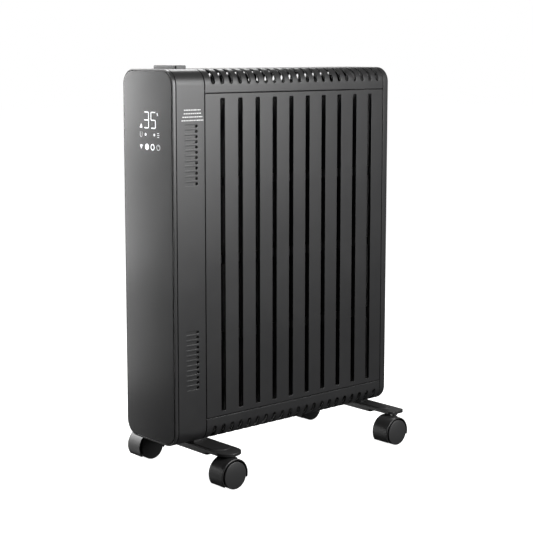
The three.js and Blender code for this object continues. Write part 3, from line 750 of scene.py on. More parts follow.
def key_patches():
    """The push key: a rounded block on a wider flange, all as rings of one outline."""
    x, half_x = (KEY_LOW.x + KEY_HIGH.x) / 2, (KEY_HIGH.x - KEY_LOW.x) / 2
    half_y = (KEY_HIGH.y - KEY_LOW.y) / 2
    flange_top = BODY_TOP - 2.8 * MM
    rows = [(KEY_LOW.z, 0.0), (flange_top, 0.0), (flange_top, KEY_FLANGE)]
    rows += round_rows(KEY_HIGH.z, KEY_FLANGE, 1.3 * MM, 1, 5)
    rows += [(KEY_HIGH.z - 0.25 * MM, KEY_FLANGE + 4.2 * MM)]
    return capped(block_rings(x, half_x, half_y, 3.5 * MM, rows, 6), 2, 4)


# ------------------------------------------------------------------ feet and casters

def foot_patches(plate_node, feet, end_corner, skirt_end):
    """A foot plate: rings from its underside round the edge and over a raised middle.
    Each ring is a rounded rectangle: point = sign * (half size - corner) + corner * normal.
    Under it a skirt is turned down, and a saddle lifts the heater off it."""
    low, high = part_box(plate_node)
    x, radius, tip = (low.x + high.x) / 2, (high.x - low.x) / 2, high.y
    top = FOOT_BOTTOM + feet.plate
    edge, brim = 0.5 * MM, 0.8 * MM
    raised = tip - 20 * MM
    rows = [(0.0, tip - radius, 0.0, FOOT_BOTTOM),
            (radius - edge, tip - edge, end_corner - edge, FOOT_BOTTOM),
            (radius, tip, end_corner, FOOT_BOTTOM + edge)]
    sine, cosine = quarter(4)
    rows += [(radius - inset, tip - inset, end_corner - inset, top - brim * (1 - s))
             for s, inset in zip(sine, brim * (1 - cosine))]
    for share in np.linspace(0.0, 1.0, 7):
        inset = 3.0 * MM + 1.6 * MM * share
        climb = feet.emboss * (share * share * (3 - 2 * share))
        rows.append((radius - inset, raised - inset, radius - 0.1 * MM - inset, top + climb))
    rows.append((0.0, raised - radius, 0.0, top + feet.emboss))
    half_x, half_y, corners, heights = np.asarray(rows).T[:, :, None]
    turn = np.concatenate([np.linspace(k, k + 1, 9) for k in range(4)]) * QUARTER_TURN
    sign_x = np.repeat([1, -1, -1, 1], 9)
    sign_y = np.repeat([1, 1, -1, -1], 9)
    grid = np.empty((len(rows), len(turn), 3))
    grid[..., 0] = x + sign_x * (half_x - corners) + corners * np.cos(turn)
    grid[..., 1] = sign_y * (half_y - corners) + corners * np.sin(turn)
    grid[..., 2] = heights

    wall, seat = feet.skirt_wall, FOOT_BOTTOM + 0.6 * MM
    rows = [(seat, 0.0)] + round_rows(low.z, 0.0, 0.6 * MM, -1, 3)
    rows += [(low.z, wall - 0.3 * MM), (low.z + 0.3 * MM, wall), (seat, wall)]
    skirt = block_rings(x, radius - 0.05 * MM, skirt_end, 4 * MM, rows, 5)
    rows = [(top - 0.5 * MM, 0.0)] + round_rows(high.z, 0.0, 0.8 * MM, 1, 3)
    saddle = block_rings(x, radius - 7 * MM, SADDLE_END, 3 * MM, rows, 4)
    return [surface(grid, wrap_columns=True), surface(skirt, wrap_rows=True, wrap_columns=True),
            *capped(saddle, 2, 3)]


def hood_patches(feet, axle, stem_x):
    """A caster hood about its axle: a closed profile across its width, carried over the
    wheels on a circle from its nose to its heel, and a web between the wheels."""
    outer, inner, half = feet.hood_radius, feet.hood_inner, feet.hood_half
    bead, lip = 1.3 * MM, 0.3 * MM

    def sweep(radius, steps):
        """Angles at this radius from the heel over to the nose."""
        nose = HALF_TURN + math.asin(feet.nose_drop / radius)
        return np.linspace(math.asin(-feet.heel_drop / radius), nose, steps)

    side = [(half, inner + lip), (half, outer - bead)]
    side += [(half - bead * (1 - c), outer - bead * (1 - s)) for s, c in zip(*quarter(5))][1:]
    crown = [(half * share, outer) for share in (0.6, 0.2, -0.2, -0.6)]
    other_side = [(-across, reach) for across, reach in reversed(side)]
    underside = [(-half + lip, inner), (half - lip, inner)]
    across, reach = np.asarray(side + crown + other_side + underside).T
    turn = sweep(outer, 57)
    count, last = len(across), (len(turn) - 1) * len(across)
    grid = np.empty((len(turn), count, 3))
    grid[..., 0] = np.cos(turn)[:, None] * reach
    grid[..., 1] = across
    grid[..., 2] = np.sin(turn)[:, None] * reach
    drum = surface(grid, wrap_columns=True)
    drum[1].extend([list(range(count))[::-1], list(range(last, last + count))])

    web_radius, half_web = inner + 0.8 * MM, feet.web_half
    turn = sweep(web_radius, 41)
    arc = np.stack([np.cos(turn), np.sin(turn)], axis=1) * web_radius
    share = np.linspace(0.0, 1.0, len(turn))[:, None]
    chord = arc[:1] * (1 - share) + arc[-1:] * share
    flat = [(chord, -half_web), (arc, -half_web), (arc, half_web), (chord, half_web)]
    web = surface(np.stack([np.insert(xz, 1, y, axis=1) for xz, y in flat]), wrap_rows=True)
    collar = feet.stem_radius + 2.6 * MM
    profile = [(10 * MM, 0.0), (10 * MM, collar), (22.3 * MM, collar),
               (23 * MM, collar - 0.7 * MM), (23 * MM, 0.0)]
    return moved([drum, web, lathe(profile, 32, 2, (stem_x - axle.x, 0, 0))], axle)


def stem_patches(feet, node):
    """A caster stem with a shoulder under the foot plate and a groove in its neck."""
    low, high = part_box(node)
    radius = feet.stem_radius
    groove, flange = radius - 0.4 * MM, radius + 1.95 * MM
    shoulder = FOOT_BOTTOM - CLEARANCE
    profile = [
        (low.z, 0.0), (low.z, radius - 0.5 * MM), (low.z + 0.5 * MM, radius),
        (shoulder - 3.6 * MM, radius), (shoulder - 3.4 * MM, groove),
        (shoulder - 2.6 * MM, groove), (shoulder - 2.4 * MM, radius),
        (shoulder - 2.0 * MM, radius), (shoulder - 2.0 * MM, radius + 1.4 * MM),
        (shoulder - 1.4 * MM, flange), (shoulder, flange),
        (shoulder, radius), (high.z, radius), (high.z, 0.0),
    ]
    middle = (low + high) / 2
    return [lathe(profile, 32, 2, (middle.x, middle.y, 0.0))]


def wheel_patches(feet, node, outward):
    """A caster wheel turned about its axle: a softly domed face with a rounded edge, a
    plain tread, and a recess on the inner side."""
    low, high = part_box(node)
    radius, face = feet.wheel_radius, high.y - low.y
    edge, start = 0.9 * MM, face - 2.4 * MM
    profile = [(0.0, 0.0), (0.0, 4 * MM), (1.5 * MM, 5 * MM), (1.5 * MM, radius - 5 * MM),
               (0.0, radius - 4 * MM), (0.0, radius - 0.6 * MM), (0.6 * MM, radius)]
    profile += [(start + edge * s, radius - edge * (1 - c)) for s, c in zip(*quarter(5))]
    profile += [(face - 1.5 * MM * share ** 2.2, (radius - edge) * share)
                for share in np.linspace(1.0, 0.0, 14)[1:]]
    points = [((along - face / 2) * outward, reach) for along, reach in profile]
    return [lathe(points, 64, 1, (low + high) / 2)]


# ------------------------------------------------------------------ lit symbols

def prism(outline, depth=0.12 * MM):
    """A thin slab on the panel's face from a flat outline of (across, up) points. Across
    runs to the viewer's right, which is -Y."""
    across, up = np.asarray(outline, float).T
    front = np.stack([np.full(len(across), PANEL_LOW.x - 0.04 * MM), -across, up], axis=1)
    back = front + np.array([depth, 0.0, 0.0])
    total = len(across)
    ends = [list(range(total))[::-1], list(range(total, 2 * total))]
    return np.concatenate([front, back]), quads(2, total, wrap_columns=True).tolist() + ends


def ring_symbol(across, up, radius, width, start=0.0, end=360.0, steps=28):
    """A ring or an open arc as two edges of a circle; angles run from the right."""
    turn = np.radians(np.linspace(start, end, steps + 1))
    unit = np.stack([np.cos(turn), np.sin(turn)], axis=1)
    outer, inner = unit * radius, unit * (radius - width)
    return [prism(np.array([outer[k], outer[k + 1], inner[k + 1], inner[k]]) + (across, up))
            for k in range(steps)]


def disc_symbol(across, up, radius, steps=24):
    turn = np.linspace(0.0, 2 * HALF_TURN, steps, endpoint=False)
    return [prism(np.stack([across + radius * np.cos(turn), up + radius * np.sin(turn)], axis=1))]


def bar_symbol(start, end, width):
    """A straight stroke with pointed ends between two places."""
    start, end = np.asarray(start, float), np.asarray(end, float)
    way = (end - start) / np.linalg.norm(end - start)
    side = np.array([-way[1], way[0]]) * width / 2
    inset = way * width / 2
    low, high = start + inset, end - inset
    return [prism(np.array([start, low + side, high + side, end, high - side, low - side]))]


SEGMENTS = {3: "abgcd", 5: "afgcd"}


def digit_symbol(value, across, up, wide, tall, width):
    """A seven-segment digit with its lower left corner at (across, up)."""
    left, right = across, across + wide
    low, middle, high = up, up + tall / 2, up + tall
    strokes = {
        "a": ((left, high), (right, high)), "g": ((left, middle), (right, middle)),
        "d": ((left, low), (right, low)), "b": ((right, middle), (right, high)),
        "c": ((right, low), (right, middle)), "f": ((left, middle), (left, high)),
    }
    return [patch for name in SEGMENTS[value] for patch in bar_symbol(*strokes[name], width)]


def lit_symbols():
    """The number in the middle, arrows to its left, and a row of round symbols below."""
    lit, dim = [], []
    base = -8.2 * MM                       # the number's left edge, seen from the front
    low, tall, wide, stroke = 551.6 * MM, 23.8 * MM, 11.0 * MM, 1.5 * MM
    lit += digit_symbol(3, base, low, wide, tall, stroke)
    lit += digit_symbol(5, base + wide + 6.2 * MM, low, wide, tall, stroke)
    lit += bar_symbol((24.2 * MM, 575.0 * MM), (25.8 * MM, 570.0 * MM), 1.8 * MM)
    arrow_half, arrow_tall = 3.4 * MM, 6.6 * MM
    left, right, row, dots = -16.2 * MM, 26.7 * MM, 522.8 * MM, 541.6 * MM
    for tip, flat in ((558.2 * MM, 558.2 * MM - arrow_tall), (519.0 * MM, 519.0 * MM + arrow_tall)):
        points = [(left - arrow_half, flat), (left + arrow_half, flat), (left, tip)]
        lit.append(prism(np.array(points)))
    lit += disc_symbol(-1.8 * MM, row, 4.7 * MM)
    lit += ring_symbol(12.4 * MM, row, 4.9 * MM, 1.5 * MM)
    lit += disc_symbol(-5.0 * MM, dots, 2.1 * MM)
    lit += disc_symbol(17.1 * MM, dots, 1.9 * MM)
    dim += ring_symbol(right, row, 4.5 * MM, 0.9 * MM, 110.0, 430.0)
    dim += bar_symbol((right, row + 1.0 * MM), (right, row + 5.2 * MM), 0.9 * MM)
    cup = 541.0 * MM
    dim += ring_symbol(left, cup - 1.0 * MM, 2.9 * MM, 0.8 * MM, 180.0, 360.0, 14)
    for side in (-1, 1):
        at = left + side * 2.5 * MM
        dim += bar_symbol((at, cup - 1.4 * MM), (at, cup + 4.6 * MM), 0.8 * MM)
    for rise, half in ((3.0, 2.6), (0.2, 2.9), (-2.6, 2.6)):
        height, reach = cup + rise * MM, half * MM
        dim += bar_symbol((right - reach, height), (right + reach, height), 1.0 * MM)
    return lit, dim


def dash_rows():
    """Four short rows of plain printed dashes on the housing's near side."""
    generator = np.random.default_rng(7)
    patches = []
    start, end = PANEL_LOW.x + 21 * MM, PANEL_LOW.x + 53 * MM
    for row in range(4):
        height = 579.5 * MM - row * 5.2 * MM
        reach = (0.0, 0.4, 3.0, 4.6)[row] * MM
        x, stop_at = start - reach, end + reach
        while x < stop_at:
            dash = (1.6 + 2.4 * generator.random()) * MM
            stop = min(x + dash, stop_at)
            low, high = height - 0.85 * MM, height + 0.85 * MM
            front, back = -SIDE - 0.05 * MM, -SIDE + 0.3 * MM
            points = np.array([(a, y, z) for y in (front, back)
                               for a, z in ((x, low), (stop, low), (stop, high), (x, high))])
            walls = quads(2, 4, wrap_columns=True).tolist()
            patches.append((points, walls + [[3, 2, 1, 0], [4, 5, 6, 7]]))
            x = stop + 0.9 * MM
    return patches


# ------------------------------------------------------------------ node groups

def node_group(name, inputs, outputs):
    """A shader node group with float, colour or vector sockets, built once."""
    group = bpy.data.node_groups.new(name, "ShaderNodeTree")
    for label, kind, default in inputs:
        socket = group.interface.new_socket(name=label, in_out="INPUT", socket_type=kind)
        socket.default_value = default
    for label, kind in outputs:
        group.interface.new_socket(name=label, in_out="OUTPUT", socket_type=kind)
    return group, group.nodes.new("NodeGroupInput"), group.nodes.new("NodeGroupOutput")


def math_node(tree, operation, first, second, clamp=False):
    node = tree.nodes.new("ShaderNodeMath")
    node.operation = operation
    node.use_clamp = clamp
    for socket, value in zip(node.inputs, (first, second)):
        if isinstance(value, (int, float)):
            socket.default_value = value
        else:
            tree.links.new(value, socket)
    return node.outputs[0]


def times(tree, first, second, clamp=False):
    return math_node(tree, "MULTIPLY", first, second, clamp)


def object_place(tree):
    return tree.nodes.new("ShaderNodeTexCoord").outputs["Object"]


def noise_node(tree, vector, scale, detail=3.0, roughness=0.5):
    node = tree.nodes.new("ShaderNodeTexNoise")
    tree.links.new(vector, node.inputs["Vector"])
    if isinstance(scale, (int, float)):
        node.inputs["Scale"].default_value = scale
    else:
        tree.links.new(scale, node.inputs["Scale"])
    node.inputs["Detail"].default_value = detail
    node.inputs["Roughness"].default_value = roughness
    return node.outputs["Fac"]


def grain_group():
    """Fine grain of a coat or a mould: two sizes of noise added into one height."""
    group, entry, leave = node_group(
        "Fine Grain",
        [("Grain Scale", "NodeSocketFloat", 900.0), ("Fine Share", "NodeSocketFloat", 0.35)],
        [("Height", "NodeSocketFloat")],
    )
    place = object_place(group)
    coarse = noise_node(group, place, entry.outputs["Grain Scale"], 2.0)
    fine = noise_node(group, place, times(group, entry.outputs["Grain Scale"], 3.1), 2.0)
    fine_part = times(group, fine, entry.outputs["Fine Share"])
    group.links.new(math_node(group, "ADD", coarse, fine_part), leave.inputs["Height"])
    return group


def handling_group():
    """Slow drift of gloss and tone over a large surface, with faint finger smears."""
    group, entry, leave = node_group(
        "Handling Marks",
        [("Base Roughness", "NodeSocketFloat", 0.4), ("Drift", "NodeSocketFloat", 0.05)],
        [("Roughness", "NodeSocketFloat"), ("Mask", "NodeSocketFloat")],
    )
    place = object_place(group)
    broad = noise_node(group, place, 7.0, 4.0)
    smear = noise_node(group, place, 46.0, 5.0, 0.65)
    both = math_node(group, "ADD", times(group, broad, 0.65), times(group, smear, 0.35))
    centred = math_node(group, "SUBTRACT", both, 0.5)
    change = times(group, centred, times(group, entry.outputs["Drift"], 4.0))
    rough = math_node(group, "ADD", entry.outputs["Base Roughness"], change, clamp=True)
    group.links.new(rough, leave.inputs["Roughness"])
    group.links.new(both, leave.inputs["Mask"])
    return group


def dust_group():
    """A thin film of dust: strongest on faces that look up, broken up by noise."""
    group, entry, leave = node_group(
        "Dust Film", [("Amount", "NodeSocketFloat", 0.2)], [("Mask", "NodeSocketFloat")],
    )
    place = object_place(group)
    normal = group.nodes.new("ShaderNodeNewGeometry").outputs["Normal"]
    split = group.nodes.new("ShaderNodeSeparateXYZ")
    group.links.new(normal, split.inputs[0])
    upward = math_node(group, "MAXIMUM", split.outputs["Z"], 0.0)
    speck = noise_node(group, place, 260.0, 6.0, 0.7)
    patchy = noise_node(group, place, 18.0, 2.0)
    film = times(group, times(group, speck, patchy), upward)
    group.links.new(times(group, film, entry.outputs["Amount"], clamp=True), leave.inputs["Mask"])
    return group


def wear_group():
    """Light rubbing along outside edges: the surface's pointedness, broken up by noise."""
    group, entry, leave = node_group(
        "Edge Rub", [("Amount", "NodeSocketFloat", 0.3)], [("Mask", "NodeSocketFloat")],
    )
    place = object_place(group)
    sharp = group.nodes.new("ShaderNodeNewGeometry").outputs["Pointiness"]
    above = math_node(group, "SUBTRACT", sharp, 0.53, clamp=True)
    raised = times(group, above, 7.0, clamp=True)
    rub = noise_node(group, place, 120.0, 4.0)
    mask = times(group, raised, rub)
    group.links.new(times(group, mask, entry.outputs["Amount"], clamp=True), leave.inputs["Mask"])
    return group


EFFECTS = {}
MAKERS = {"grain": grain_group, "handling": handling_group, "dust": dust_group, "wear": wear_group}


def effect(tree, name, **values):
    """Places a shared node group in a material with its own values."""
    if name not in EFFECTS:
        EFFECTS[name] = MAKERS[name]()
    node = tree.nodes.new("ShaderNodeGroup")
    node.node_tree = EFFECTS[name]
    for label, value in values.items():
        node.inputs[label.replace("_", " ")].default_value = value
    return node


# ------------------------------------------------------------------ materials

DUST = (0.30, 0.29, 0.28)
RUBBED = 0.05                # how much lighter a rubbed edge is
GRAIN_DEPTH = 0.2 * MM


def mixed(tree, mask, first, second):
    """A colour mixed between two colours, or a colour and a colour socket, by a mask."""
    node = tree.nodes.new("ShaderNodeMix")
    node.data_type = "RGBA"
    tree.links.new(mask, node.inputs["Factor"])
    for socket, value in zip((node.inputs["A"], node.inputs["B"]), (first, second)):
        if isinstance(value, bpy.types.NodeSocket):
            tree.links.new(value, socket)
        else:
            socket.default_value = (*value, 1.0)
    return node.outputs["Result"]


def lighter(value, amount_up):
    return tuple(channel + amount_up for channel in value)


def coated(name, base, roughness, drift=0.05, grain=900.0, bump=0.08, metallic=0.0, dust=0.15,
           wear=0.2, tone=0.006):
    """A coated or moulded surface: slow drift of gloss and tone, fine grain, a dust film
    on top and lightly rubbed edges."""
    material = bpy.data.materials.new(name)
    material.use_nodes = True
    tree = material.node_tree
    shader = tree.nodes["Principled BSDF"]
    marks = effect(tree, "handling", Base_Roughness=roughness, Drift=drift)
    film = effect(tree, "dust", Amount=dust)
    rubbed = effect(tree, "wear", Amount=wear)
    toned = mixed(tree, marks.outputs["Mask"], base, lighter(base, tone))
    worn = mixed(tree, rubbed.outputs["Mask"], toned, lighter(base, RUBBED))
    dusty = mixed(tree, film.outputs["Mask"], worn, DUST)
    tree.links.new(dusty, shader.inputs["Base Color"])
    tree.links.new(marks.outputs["Roughness"], shader.inputs["Roughness"])
    shader.inputs["Metallic"].default_value = metallic
    height = effect(tree, "grain", Grain_Scale=grain)
    bumped = tree.nodes.new("ShaderNodeBump")
    bumped.inputs["Strength"].default_value = bump
    bumped.inputs["Distance"].default_value = GRAIN_DEPTH
    tree.links.new(height.outputs["Height"], bumped.inputs["Height"])
    tree.links.new(bumped.outputs["Normal"], shader.inputs["Normal"])
    return material


def glowing(name, tint, strength):
    """A lit symbol, a little uneven as the light guide behind it is."""
    material = coated(name, (0.5, 0.5, 0.5), 0.4, dust=0.0, wear=0.0)
    tree = material.node_tree
    shader = tree.nodes["Principled BSDF"]
    place = object_place(tree)
    uneven = noise_node(tree, place, 220.0, 2.0)
    tree.links.new(mixed(tree, uneven, tint, lighter(tint, -0.12)), shader.inputs["Emission Color"])
    shader.inputs["Emission Strength"].default_value = strength
    return material


MATERIALS = {}


def make_materials(finish):
    """Every finish of the heater, by the record's slot."""
    coat, panel, plastic = tuple(finish.coat), tuple(finish.panel), tuple(finish.plastic)
    fixture, fins, glow = tuple(finish.fixture), tuple(finish.fins), tuple(finish.glow)
    rough = finish.plastic_roughness
    rows = {
        "satin_black": ("Satin Powder Coat", coat, finish.coat_roughness, 0.04, 1400.0, 0.10),
        "touch_panel": ("Touch Panel", panel, finish.panel_roughness, 0.02, 2200.0, 0.01),
        "bezel_trim": ("Trim Ring Coat", lighter(coat, 0.008), 0.30, 0.03, 1600.0, 0.05),
        "black_plastic": ("Key Plastic", plastic, rough, 0.05, 1100.0, 0.12),
        "dark_fixture": ("Dark Fixture Coat", fixture, 0.5, 0.08, 700.0, 0.1),
        "radiator_steel": ("Heat Resistant Coat", fins, 0.6, 0.08, 600.0, 0.15),
        "circuit_board": ("Solder Resist", (0.02, 0.11, 0.05), 0.35, 0.04, 500.0, 0.05),
        "steel": ("Plated Steel", (0.42, 0.42, 0.43), 0.32, 0.08, 1800.0, 0.06),
        "white_nylon": ("Natural Nylon", (0.70, 0.70, 0.66), 0.45, 0.05, 900.0, 0.08),
        "brass_can": ("Plain Brass", (0.55, 0.40, 0.16), 0.30, 0.08, 1200.0, 0.05),
        "caster_plastic": ("Caster Plastic", plastic, rough, 0.06, 1000.0, 0.14),
        "caster_wheel": ("Wheel Plastic", lighter(plastic, 0.004), rough, 0.06, 900.0, 0.14),
        "stem": ("Blackened Steel", (0.05, 0.05, 0.052), 0.38, 0.08, 1500.0, 0.06),
        "ink": ("White Ink", (0.55, 0.55, 0.55), 0.5),
    }
    extras = {
        "touch_panel": {"dust": 0.0, "wear": 0.05, "tone": 0.002},
        "circuit_board": {"tone": 0.02},
        "steel": {"tone": 0.05, "metallic": 1.0},
        "white_nylon": {"tone": 0.03},
        "brass_can": {"tone": 0.04, "metallic": 1.0},
        "stem": {"tone": 0.03, "metallic": 1.0},
        "ink": {"tone": 0.05, "dust": 0.0, "wear": 0.0},
    }
    for slot, row in rows.items():
        MATERIALS[slot] = coated(*row, **extras.get(slot, {}))
    MATERIALS["lit"] = glowing("Lit Symbols", glow, finish.glow_strength)
    MATERIALS["dim"] = glowing("Dim Symbols", glow, finish.dim_strength)


# ------------------------------------------------------------------ operators

class HeaterOperator:
    """Shared options of the heater's operators"""

    bl_options = {"REGISTER", "UNDO"}


class HEATER_OT_finishes(HeaterOperator, bpy.types.Operator):
    """Makes every finish and gives it to the parts that keep their own mesh"""

    bl_idname = "heater.finishes"
    bl_label = "Finishes"

    def execute(self, context):
        make_materials(context.scene.heater_finish)
        slots = {row["node"]: row["material_slot"] for row in frame["record"]["subparts"]}
        for node, piece in frame["nodes"].items():
            piece.data.materials.clear()
            piece.data.materials.append(MATERIALS[slots[node]])
        return {"FINISHED"}


class HEATER_OT_panel(HeaterOperator, bpy.types.Operator):
    """Builds the touch panel and the trim ring round it"""

    bl_idname = "heater.panel"
    bl_label = "Touch Panel"

    def execute(self, context):
        casing = context.scene.heater_casing
        add_piece("touch_panel", panel_patches(casing), "touch_panel", ["front_panel"])
        add_piece("trim_ring", bezel_patches(casing), "bezel_trim", ["panel_bezel"])
        return {"FINISHED"}


class HEATER_OT_housing(HeaterOperator, bpy.types.Operator):
    """Builds the control housing with its four blocks of air slots"""

    bl_idname = "heater.housing"
    bl_label = "Control Housing"

    def execute(self, context):
        scene = context.scene
        patches = housing_patches(scene.heater_casing, scene.heater_louvres)
        add_piece("control_shell", patches, "satin_black", ["control_housing"],
                  wall=scene.heater_casing.housing_wall)
        return {"FINISHED"}


class HEATER_OT_covers(HeaterOperator, bpy.types.Operator):
    """Builds the slotted covers on both sides"""

    bl_idname = "heater.covers"
    bl_label = "Side Covers"

    def execute(self, context):
        casing = context.scene.heater_casing
        near = side_cover_patches(casing)
        for side, patches in (("near", near), ("far", mirrored(near, 1))):
            add_piece(f"slotted_cover_{side}", patches, "satin_black", [f"side_panel_{side}"],
                      wall=casing.sheet)
        return {"FINISHED"}


class HEATER_OT_grilles(HeaterOperator, bpy.types.Operator):
    """Builds the vented channels over the top and bottom edges"""

    bl_idname = "heater.grilles"
    bl_label = "Grilles"

    def execute(self, context):
        casing = context.scene.heater_casing
        top = grille_patches(casing)
        for side, patches in (("top", top), ("bottom", mirrored(top, 2, BODY_MIDDLE))):
            add_piece(f"vented_{side}", patches, "satin_black", [f"{side}_grille"],
                      wall=casing.sheet)
        return {"FINISHED"}


class HEATER_OT_rear_cap(HeaterOperator, bpy.types.Operator):
    """Builds the closed rear end"""

    bl_idname = "heater.rear_cap"
    bl_label = "Rear Cap"

    def execute(self, context):
        add_piece("rear_end_cap", rear_cap_patches(context.scene.heater_casing), "satin_black",
                  ["rear_cap"], wall=CAP_WALL)
        return {"FINISHED"}


class HEATER_OT_key(HeaterOperator, bpy.types.Operator):
    """Builds the push key on top of the control housing"""

    bl_idname = "heater.key"
    bl_label = "Power Key"

    def execute(self, context):
        add_piece("push_key", key_patches(), "black_plastic", ["power_key"], "key")
        return {"FINISHED"}


class HEATER_OT_symbols(HeaterOperator, bpy.types.Operator):
    """Builds the lit digits and symbols, and the plain printed dashes on the housing"""

    bl_idname = "heater.symbols"
    bl_label = "Lit Symbols"

    def execute(self, context):
        lit, dim = lit_symbols()
        add_piece("lit_symbols", lit, "lit")
        add_piece("dim_symbols", dim, "dim")
        add_piece("printed_dashes", dash_rows(), "ink")
        return {"FINISHED"}


class HEATER_OT_feet(HeaterOperator, bpy.types.Operator):
    """Builds the two foot plates"""

    bl_idname = "heater.feet"
    bl_label = "Foot Plates"

    def execute(self, context):
        feet = context.scene.heater_feet
        corners = (feet.front_corner, feet.rear_corner)
        for end, corner, skirt_end in zip(ENDS, corners, (feet.front_skirt, feet.rear_skirt)):
            node = f"{end}_foot_plate"
            patches = foot_patches(node, feet, corner, skirt_end)
            add_piece(f"foot_{end}", patches, "satin_black", [node])
        return {"FINISHED"}


class HEATER_OT_casters(HeaterOperator, bpy.types.Operator):
    """Builds the stem, hood and wheels of each caster"""

    bl_idname = "heater.casters"
    bl_label = "Casters"

    def execute(self, context):
        feet = context.scene.heater_feet
        for corner in CORNERS:
            stem_node, hood_node = f"caster_stem_{corner}", f"caster_hood_{corner}"
            axle, stem = node_centre(f"caster_axle_{corner}"), node_centre(stem_node)
            add_piece(f"stem_{corner}", stem_patches(feet, stem_node), "stem", [stem_node])
            add_piece(f"hood_{corner}", hood_patches(feet, axle, stem.x), "caster_plastic",
                      [hood_node], f"caster_{corner}")
            for letter, outward in (("a", -1), ("b", 1)):
                wheel, node = f"wheel_{corner}_{letter}", f"caster_wheel_{corner}_{letter}"
                patches = wheel_patches(feet, node, outward)
                add_piece(wheel, patches, "caster_wheel", [node], wheel)
        return {"FINISHED"}


# ------------------------------------------------------------------ stage

FLOOR_HALF = 12.0
WORLD_FILL = 0.05
FLOOR_GLOW = 0.985
LIGHTS = {                   # place, target, width, power, height
    "side_bank": ((0.52, -1.70, 1.06), (-0.36, -0.06, 1.06), 1.0, 67.0, 1.3),
    "back_bank": ((0.95, 1.60, 1.85), (-0.2, 0.0, 0.6), 1.3, 26.0, 0.9),
    "overhead_bank": ((-0.5, -0.1, 2.2), (-0.1, 0.0, 0.6), 1.4, 6.0, 1.4),
}
CARD_WIDTH = 0.5
CARD_STRIPS = ((0.50, 1.10, 14.0), (0.20, 0.50, 8.6), (-0.05, 0.20, 4.5), (-0.45, -0.05, 1.3))


def area_light(name, place, target, width, power, height):
    light = bpy.data.lights.new(name, "AREA")
    light.shape = "RECTANGLE"
    light.size, light.size_y = width, height
    light.energy = power
    lamp = bpy.data.objects.new(name, light)
    bpy.context.scene.collection.objects.link(lamp)
    lamp.location = place
    lamp.rotation_mode = "QUATERNION"
    lamp.rotation_quaternion = (Vector(target) - Vector(place)).to_track_quat("-Z", "Y")
    lamp.visible_camera = False


def by_ray(tree, unseen, seen, output):
    """Gives the camera one shader and every other ray another."""
    path = tree.nodes.new("ShaderNodeLightPath")
    mix = tree.nodes.new("ShaderNodeMixShader")
    tree.links.new(path.outputs["Is Camera Ray"], mix.inputs["Fac"])
    tree.links.new(unseen.outputs[0], mix.inputs[1])
    tree.links.new(seen.outputs[0], mix.inputs[2])
    tree.links.new(mix.outputs[0], tree.nodes[output].inputs["Surface"])


def studio_world():
    """A white backdrop, and a dim even fill for what the surfaces reflect."""
    world = bpy.data.worlds.new("Studio")
    bpy.context.scene.world = world
    world.use_nodes = True
    tree = world.node_tree
    backdrop, fill = tree.nodes["Background"], tree.nodes.new("ShaderNodeBackground")
    for node, power in ((backdrop, 1.0), (fill, WORLD_FILL)):
        node.inputs["Color"].default_value = (1, 1, 1, 1)
        node.inputs["Strength"].default_value = power
    by_ray(tree, fill, backdrop, "World Output")


def floor_material():
    """A pale floor that washes out to white, so that only a faint shadow is left on it.
    It is left out of reflections, as a floor under a product table is."""
    material = bpy.data.materials.new("Pale Floor")
    material.use_nodes = True
    tree = material.node_tree
    shader = tree.nodes["Principled BSDF"]
    soft = noise_node(tree, object_place(tree), 3.0, 3.0)
    colour = mixed(tree, soft, (0.42, 0.42, 0.42), (0.44, 0.44, 0.44))
    tree.links.new(colour, shader.inputs["Base Color"])
    shader.inputs["Roughness"].default_value = 1.0
    shader.inputs["Specular IOR Level"].default_value = 0.0
    shader.inputs["Emission Color"].default_value = (1, 1, 1, 1)
    shader.inputs["Emission Strength"].default_value = FLOOR_GLOW
    by_ray(tree, tree.nodes.new("ShaderNodeBsdfTransparent"), shader, "Material Output")
    return material


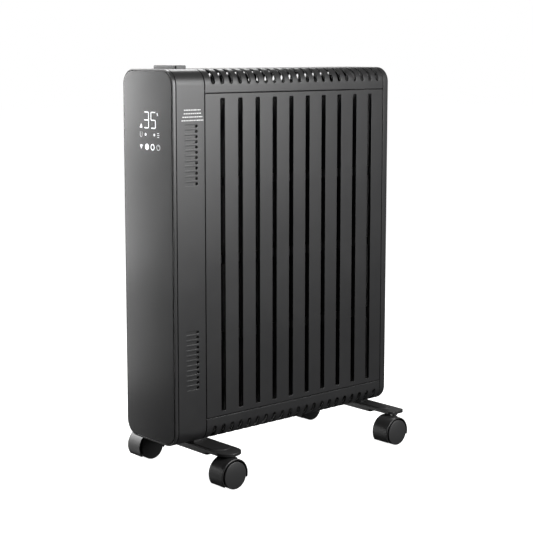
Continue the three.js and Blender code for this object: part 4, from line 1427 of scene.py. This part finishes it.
class HEATER_OT_stage(HeaterOperator, bpy.types.Operator):
    """Sets up the floor, the soft light and the camera"""

    bl_idname = "heater.stage"
    bl_label = "Stage"

    def execute(self, context):
        stage = context.scene.heater_stage
        half = FLOOR_HALF
        mesh = bpy.data.meshes.new("studio_floor")
        corners = [(-half, -half, 0), (half, -half, 0), (half, half, 0), (-half, half, 0)]
        mesh.from_pydata(corners, [], [(0, 1, 2, 3)])
        mesh.materials.append(floor_material())
        floor = bpy.data.objects.new("studio_floor", mesh)
        context.scene.collection.objects.link(floor)
        studio_world()
        for low, high, radiance in CARD_STRIPS:
            height = (low + high) / 2
            power = radiance * HALF_TURN * CARD_WIDTH * (high - low)
            area_light("panel_card", (-0.416, 0.778, height), (-0.146, 0.21, height), CARD_WIDTH,
                       power, high - low)
        for name, values in LIGHTS.items():
            area_light(name, *values)
        camera = bpy.data.cameras.new("studio_camera")
        camera.sensor_width = 36.0
        camera.lens = stage.lens
        camera.shift_y = stage.shift
        camera.clip_start, camera.clip_end = 0.05, 60.0
        holder = bpy.data.objects.new("studio_camera", camera)
        context.scene.collection.objects.link(holder)
        holder.location = stage.camera_place
        holder.rotation_euler = (QUARTER_TURN - stage.dip, 0.0, -stage.heading)
        context.scene.camera = holder
        context.scene.view_settings.view_transform = "Standard"
        return {"FINISHED"}


# ------------------------------------------------------------------ panel and registration

STEPS = (
    HEATER_OT_finishes, HEATER_OT_panel, HEATER_OT_housing, HEATER_OT_covers, HEATER_OT_grilles,
    HEATER_OT_rear_cap, HEATER_OT_key, HEATER_OT_symbols, HEATER_OT_feet, HEATER_OT_casters,
    HEATER_OT_stage,
)


class HEATER_PT_sidebar(bpy.types.Panel):
    """Lists the heater's steps in the sidebar"""

    bl_idname = "HEATER_PT_sidebar"
    bl_label = "Oil Filled Heater"
    bl_space_type = "VIEW_3D"
    bl_region_type = "UI"
    bl_category = "Heater"

    def draw(self, context):
        for step in STEPS:
            self.layout.operator(step.bl_idname)


GROUPS = {
    "heater_casing": HeaterCasing,
    "heater_louvres": HeaterLouvres,
    "heater_feet": HeaterFeet,
    "heater_finish": HeaterFinish,
    "heater_stage": HeaterStage,
}


def register():
    for group in GROUPS.values():
        bpy.utils.register_class(group)
    for name, group in GROUPS.items():
        setattr(bpy.types.Scene, name, bpy.props.PointerProperty(type=group))
    for step in (*STEPS, HEATER_PT_sidebar):
        bpy.utils.register_class(step)


def unregister():
    for step in (HEATER_PT_sidebar, *reversed(STEPS)):
        bpy.utils.unregister_class(step)
    for name, group in reversed(GROUPS.items()):
        delattr(bpy.types.Scene, name)
        bpy.utils.unregister_class(group)


def main():
    """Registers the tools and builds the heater."""
    register()
    for step in STEPS:
        group, name = step.bl_idname.split(".")
        getattr(getattr(bpy.ops, group), name)()


if __name__ == "__main__":
    main()
